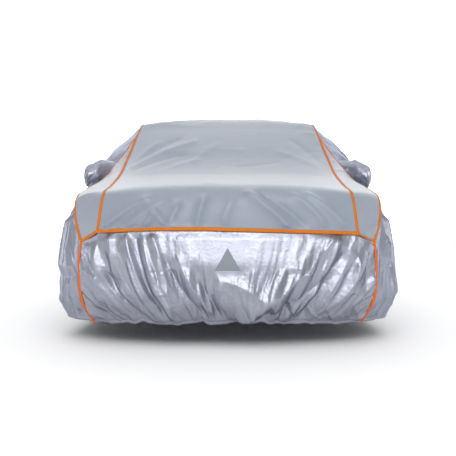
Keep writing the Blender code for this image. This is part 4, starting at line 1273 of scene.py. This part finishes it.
def make_tapes():
    """Every tape. Returns the lines along which they are stitched."""
    sizes = cover_sizes()
    lines = []
    for word, sign in SIDES.items():
        outward = np.array((sign, 0.0, 0.0))
        column = "first column" if sign < 0 else "last column"
        side = border_pair(f"side_panel_{word}", "first column")
        run, normals = side[0].copy(), side[1].copy()
        for end, span in LINES.spans.items():
            shoulder = BUILT[f"{end}_shoulder_{word}"]
            columns = shoulder.grid.shape[1]
            run[span, :columns] = shoulder.grid
            run[span, columns:] = shoulder.grid[:, -1:]
            normals[span, :columns] = shoulder.normals
            lines += lay_tape(
                f"{end}_edge_binding_{word}", f"{end}_edge_tape_{word}",
                (shoulder.grid[:, ::-1], shoulder.normals[:, ::-1]),
                (side[0][span], side[1][span]), sizes.edge_width, outward + UP / 2,
            )
        lines += lay_tape(
            f"centre_binding_{word}", f"centre_tape_{word}", border_pair("centre", column),
            (run, normals), sizes.tape_width, UP,
        )
        for end, (facing, border) in ENDS.items():
            lines += lay_tape(
                f"{end}_corner_binding_{word}", f"{end}_corner_tape_{word}",
                border_pair(f"{end}_skirt", column), border_pair(f"side_panel_{word}", border),
                sizes.corner_width, facing + outward, "corner_grosgrain",
            )
    for end, (facing, border) in ENDS.items():
        names = (f"{end}_shoulder_left", "centre", f"{end}_shoulder_right")
        run, normals = map(joined, zip(*[border_pair(name, border) for name in names]))
        hung = hanging_run(run), np.repeat(normals[:, :1], len(WING_STEPS), axis=1)
        lines += lay_tape(
            f"{end}_flap_binding", f"{end}_hem_tape", (run, normals), hung,
            sizes.tape_width, facing,
        )
    return lines


def stitch_tree(values, material):
    """Geometry nodes that lay a short thread at even steps along every line."""
    tree = bpy.data.node_groups.new("stitches", "GeometryNodeTree")
    tree.is_modifier = True
    face = tree.interface
    for way in ("INPUT", "OUTPUT"):
        face.new_socket("Geometry", in_out=way, socket_type="NodeSocketGeometry")
    sockets = {
        face.new_socket(name, in_out="INPUT", socket_type="NodeSocketFloat").identifier: value
        for name, value in values.items()
    }
    source = add_node(tree, "NodeGroupInput")
    curve = add_node(tree, "GeometryNodeMeshToCurve", None, {"Mesh": source.outputs["Geometry"]})
    even = add_node(tree, "GeometryNodeResampleCurve", {"mode": "LENGTH"}, {
        "Curve": curve.outputs[0], "Length": source.outputs["Stitch pitch"]})
    thread = add_node(tree, "GeometryNodeMeshCylinder", None, {
        "Vertices": 5, "Radius": source.outputs["Thread radius"],
        "Depth": source.outputs["Stitch length"]})
    tangent = add_node(tree, "GeometryNodeInputTangent")
    turn = add_node(tree, "FunctionNodeAlignRotationToVector", {"axis": "Z"}, {
        "Vector": tangent.outputs[0]})
    placed = add_node(tree, "GeometryNodeInstanceOnPoints", None, {
        "Points": even.outputs[0], "Instance": thread.outputs["Mesh"],
        "Rotation": turn.outputs[0]})
    real = add_node(tree, "GeometryNodeRealizeInstances", None, {"Geometry": placed.outputs[0]})
    finished = add_node(tree, "GeometryNodeSetMaterial", None, {
        "Geometry": real.outputs[0], "Material": material})
    add_node(tree, "NodeGroupOutput", None, {"Geometry": finished.outputs[0]})
    return tree, sockets


def make_stitches(lines):
    sizes = cover_sizes()
    points, edges = [], []
    for line in lines:
        start = len(points)
        points += (line - ORIGIN).tolist()
        edges += [(start + i, start + i + 1) for i in range(len(line) - 1)]
    mesh = bpy.data.meshes.new("stitch_lines")
    mesh.from_pydata(points, edges, [])
    guide = add_object("stitch_lines", mesh)
    values = {
        "Stitch pitch": sizes.stitch_pitch,
        "Stitch length": sizes.stitch_length,
        "Thread radius": sizes.stitch_radius,
    }
    modifier = guide.modifiers.new("stitches", "NODES")
    modifier.node_group, sockets = stitch_tree(values, finish_of("polyester_thread"))
    for identifier, value in sockets.items():
        modifier[identifier] = value
    bpy.context.view_layer.update()
    graph = bpy.context.evaluated_depsgraph_get()
    made = bpy.data.meshes.new_from_object(guide.evaluated_get(graph))
    bpy.data.objects.remove(guide)
    obj = add_object("seam_stitches", made)
    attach(obj, BODY)


# ---- the stage ----

def softbox(name, place, target, size, radiance):
    """A rectangular light, as bright to look at as its radiance."""
    light = bpy.data.lights.new(name, "AREA")
    light.shape = "RECTANGLE"
    light.size, light.size_y = size
    light.energy = radiance * math.pi * size[0] * size[1]
    obj = add_object(name, light)
    obj.location = Vector(place)
    obj.rotation_euler = (Vector(target) - Vector(place)).to_track_quat("-Z", "Y").to_euler()


def make_floor():
    """A wide sheet of pale seamless paper under the cover."""
    steps = np.linspace(-FLOOR_REACH, FLOOR_REACH, FLOOR_POINTS)
    grid = np.array([[(x, y, 0.0) for x in steps] for y in steps])
    obj = grid_object("studio_floor", grid, UP, "seamless_paper")


def make_camera():
    studio = bpy.context.scene.studio_settings
    camera = bpy.data.cameras.new("camera")
    camera.lens = studio.lens
    camera.sensor_width = SENSOR_WIDTH
    camera.sensor_fit = "HORIZONTAL"
    camera.shift_x, camera.shift_y = LENS_SHIFT
    obj = add_object("camera", camera)
    obj.location = (0.0, -ORIGIN[1] - studio.camera_distance, studio.camera_height - ORIGIN[2])
    obj.rotation_euler = (math.pi / 2, 0.0, 0.0)
    bpy.context.scene.camera = obj


def eased(tree, value, band, levels):
    """A value that eases from one level to another over a band."""
    return add_node(tree, "ShaderNodeMapRange", {"interpolation_type": "SMOOTHSTEP"}, {
        "Value": value, "From Min": band[0], "From Max": band[1],
        "To Min": levels[0], "To Max": levels[1]}).outputs[0]


def make_lights():
    """A white dome, dimmer low down, overhead and at the sides, and a high softbox in front."""
    studio = bpy.context.scene.studio_settings
    world = bpy.data.worlds.new("studio")
    world.use_nodes = True
    bpy.context.scene.world = world
    tree = world.node_tree
    way = add_node(tree, "ShaderNodeTexCoord").outputs["Generated"]
    split = add_node(tree, "ShaderNodeSeparateXYZ", None, {"Vector": way})
    height = split.outputs["Z"]
    aside = add_node(tree, "ShaderNodeMath", {"operation": "ABSOLUTE"}, {0: split.outputs["X"]})
    level = eased(tree, height, HORIZON_BAND, (studio.horizon_level, studio.dome_level))
    overhead = eased(tree, height, ZENITH_BAND, (1.0, studio.zenith_share))
    sideways = eased(tree, aside.outputs[0], SIDE_BAND, (1.0, studio.side_share))
    strength = product(tree, product(tree, level, overhead), sideways)
    inputs = {"Color": DOME_COLOUR, "Strength": strength}
    set_inputs(tree, tree.nodes["Background"], inputs)
    softbox("front_softbox", FRONT_BOX_PLACE, FRONT_BOX_TARGET, FRONT_BOX_SIZE, studio.front_box)
    for word, sign in SIDES.items():
        place = (sign * STRIP_PLACE[0], *STRIP_PLACE[1:])
        softbox(f"strip_{word}", place, STRIP_TARGET, STRIP_SIZE, studio.side_strips)
    bpy.context.scene.view_settings.view_transform = "Standard"


# ---- operators ----

class COVER_OT_padding(bpy.types.Operator):
    """Make the padded centre panel and its four shoulders"""

    bl_idname = "cover.padding"
    bl_label = "Padded panels"

    def execute(self, context):
        make_centre()
        places = [(end, word) for end in ENDS for word in SIDES]
        for seed, (end, word) in enumerate(places, SHOULDER_SEED):
            make_shoulder(end, word, seed)
        return {"FINISHED"}


class COVER_OT_silver_cloth(bpy.types.Operator):
    """Make the silver side panels, the end skirts and the mirror pockets"""

    bl_idname = "cover.silver_cloth"
    bl_label = "Silver cloth"

    def execute(self, context):
        for i, (word, sign) in enumerate(SIDES.items()):
            make_side_panel(word, sign, SIDE_SEED + i)
            make_pocket(word, sign, POCKET_SEED + i)
        make_end_skirt("front", 0, FRONT_MIDDLE, FRONT_FOLDS, FRONT_COLUMNS, SKIRT_SEED)
        make_end_skirt("rear", -1, REAR_MIDDLE, REAR_FOLDS, REAR_COLUMNS, SKIRT_SEED + 1)
        return {"FINISHED"}


class COVER_OT_bindings(bpy.types.Operator):
    """Lay the orange tape over every seam and stitch it"""

    bl_idname = "cover.bindings"
    bl_label = "Tape and stitches"

    def execute(self, context):
        make_stitches(make_tapes())
        return {"FINISHED"}


class COVER_OT_patch(bpy.types.Operator):
    """Lay the plain reflective triangle on the front skirt"""

    bl_idname = "cover.patch"
    bl_label = "Reflective patch"

    def execute(self, context):
        make_patch()
        return {"FINISHED"}


class COVER_OT_stage(bpy.types.Operator):
    """Set up the floor, the lights and the camera"""

    bl_idname = "cover.stage"
    bl_label = "Stage"

    def execute(self, context):
        make_floor()
        make_lights()
        make_camera()
        return {"FINISHED"}


OPERATORS = (
    COVER_OT_padding, COVER_OT_silver_cloth, COVER_OT_bindings, COVER_OT_patch, COVER_OT_stage,
)


class COVER_PT_panel(bpy.types.Panel):
    bl_idname = "COVER_PT_panel"
    bl_label = "Car cover"
    bl_space_type = "VIEW_3D"
    bl_region_type = "UI"
    bl_category = "Car cover"

    def draw(self, context):
        layout = self.layout
        for operator in OPERATORS:
            layout.operator(operator.bl_idname)
        for group in ("cover_sizes", "cover_colours", "studio_settings"):
            box = layout.box()
            values = getattr(context.scene, group)
            for name in values.__annotations__:
                box.prop(values, name)


GROUPS = {
    "cover_sizes": CoverSizes,
    "cover_colours": CoverColours,
    "studio_settings": StudioSettings,
}


def register():
    for cls in (*GROUPS.values(), *OPERATORS, COVER_PT_panel):
        bpy.utils.register_class(cls)
    for name, cls in GROUPS.items():
        setattr(bpy.types.Scene, name, PointerProperty(type=cls))


def unregister():
    for name in GROUPS:
        delattr(bpy.types.Scene, name)
    for cls in (COVER_PT_panel, *reversed(OPERATORS), *GROUPS.values()):
        bpy.utils.unregister_class(cls)


def main():
    register()
    bpy.ops.cover.padding()
    bpy.ops.cover.silver_cloth()
    bpy.ops.cover.bindings()
    bpy.ops.cover.patch()
    bpy.ops.cover.stage()


if __name__ == "__main__":
    main()
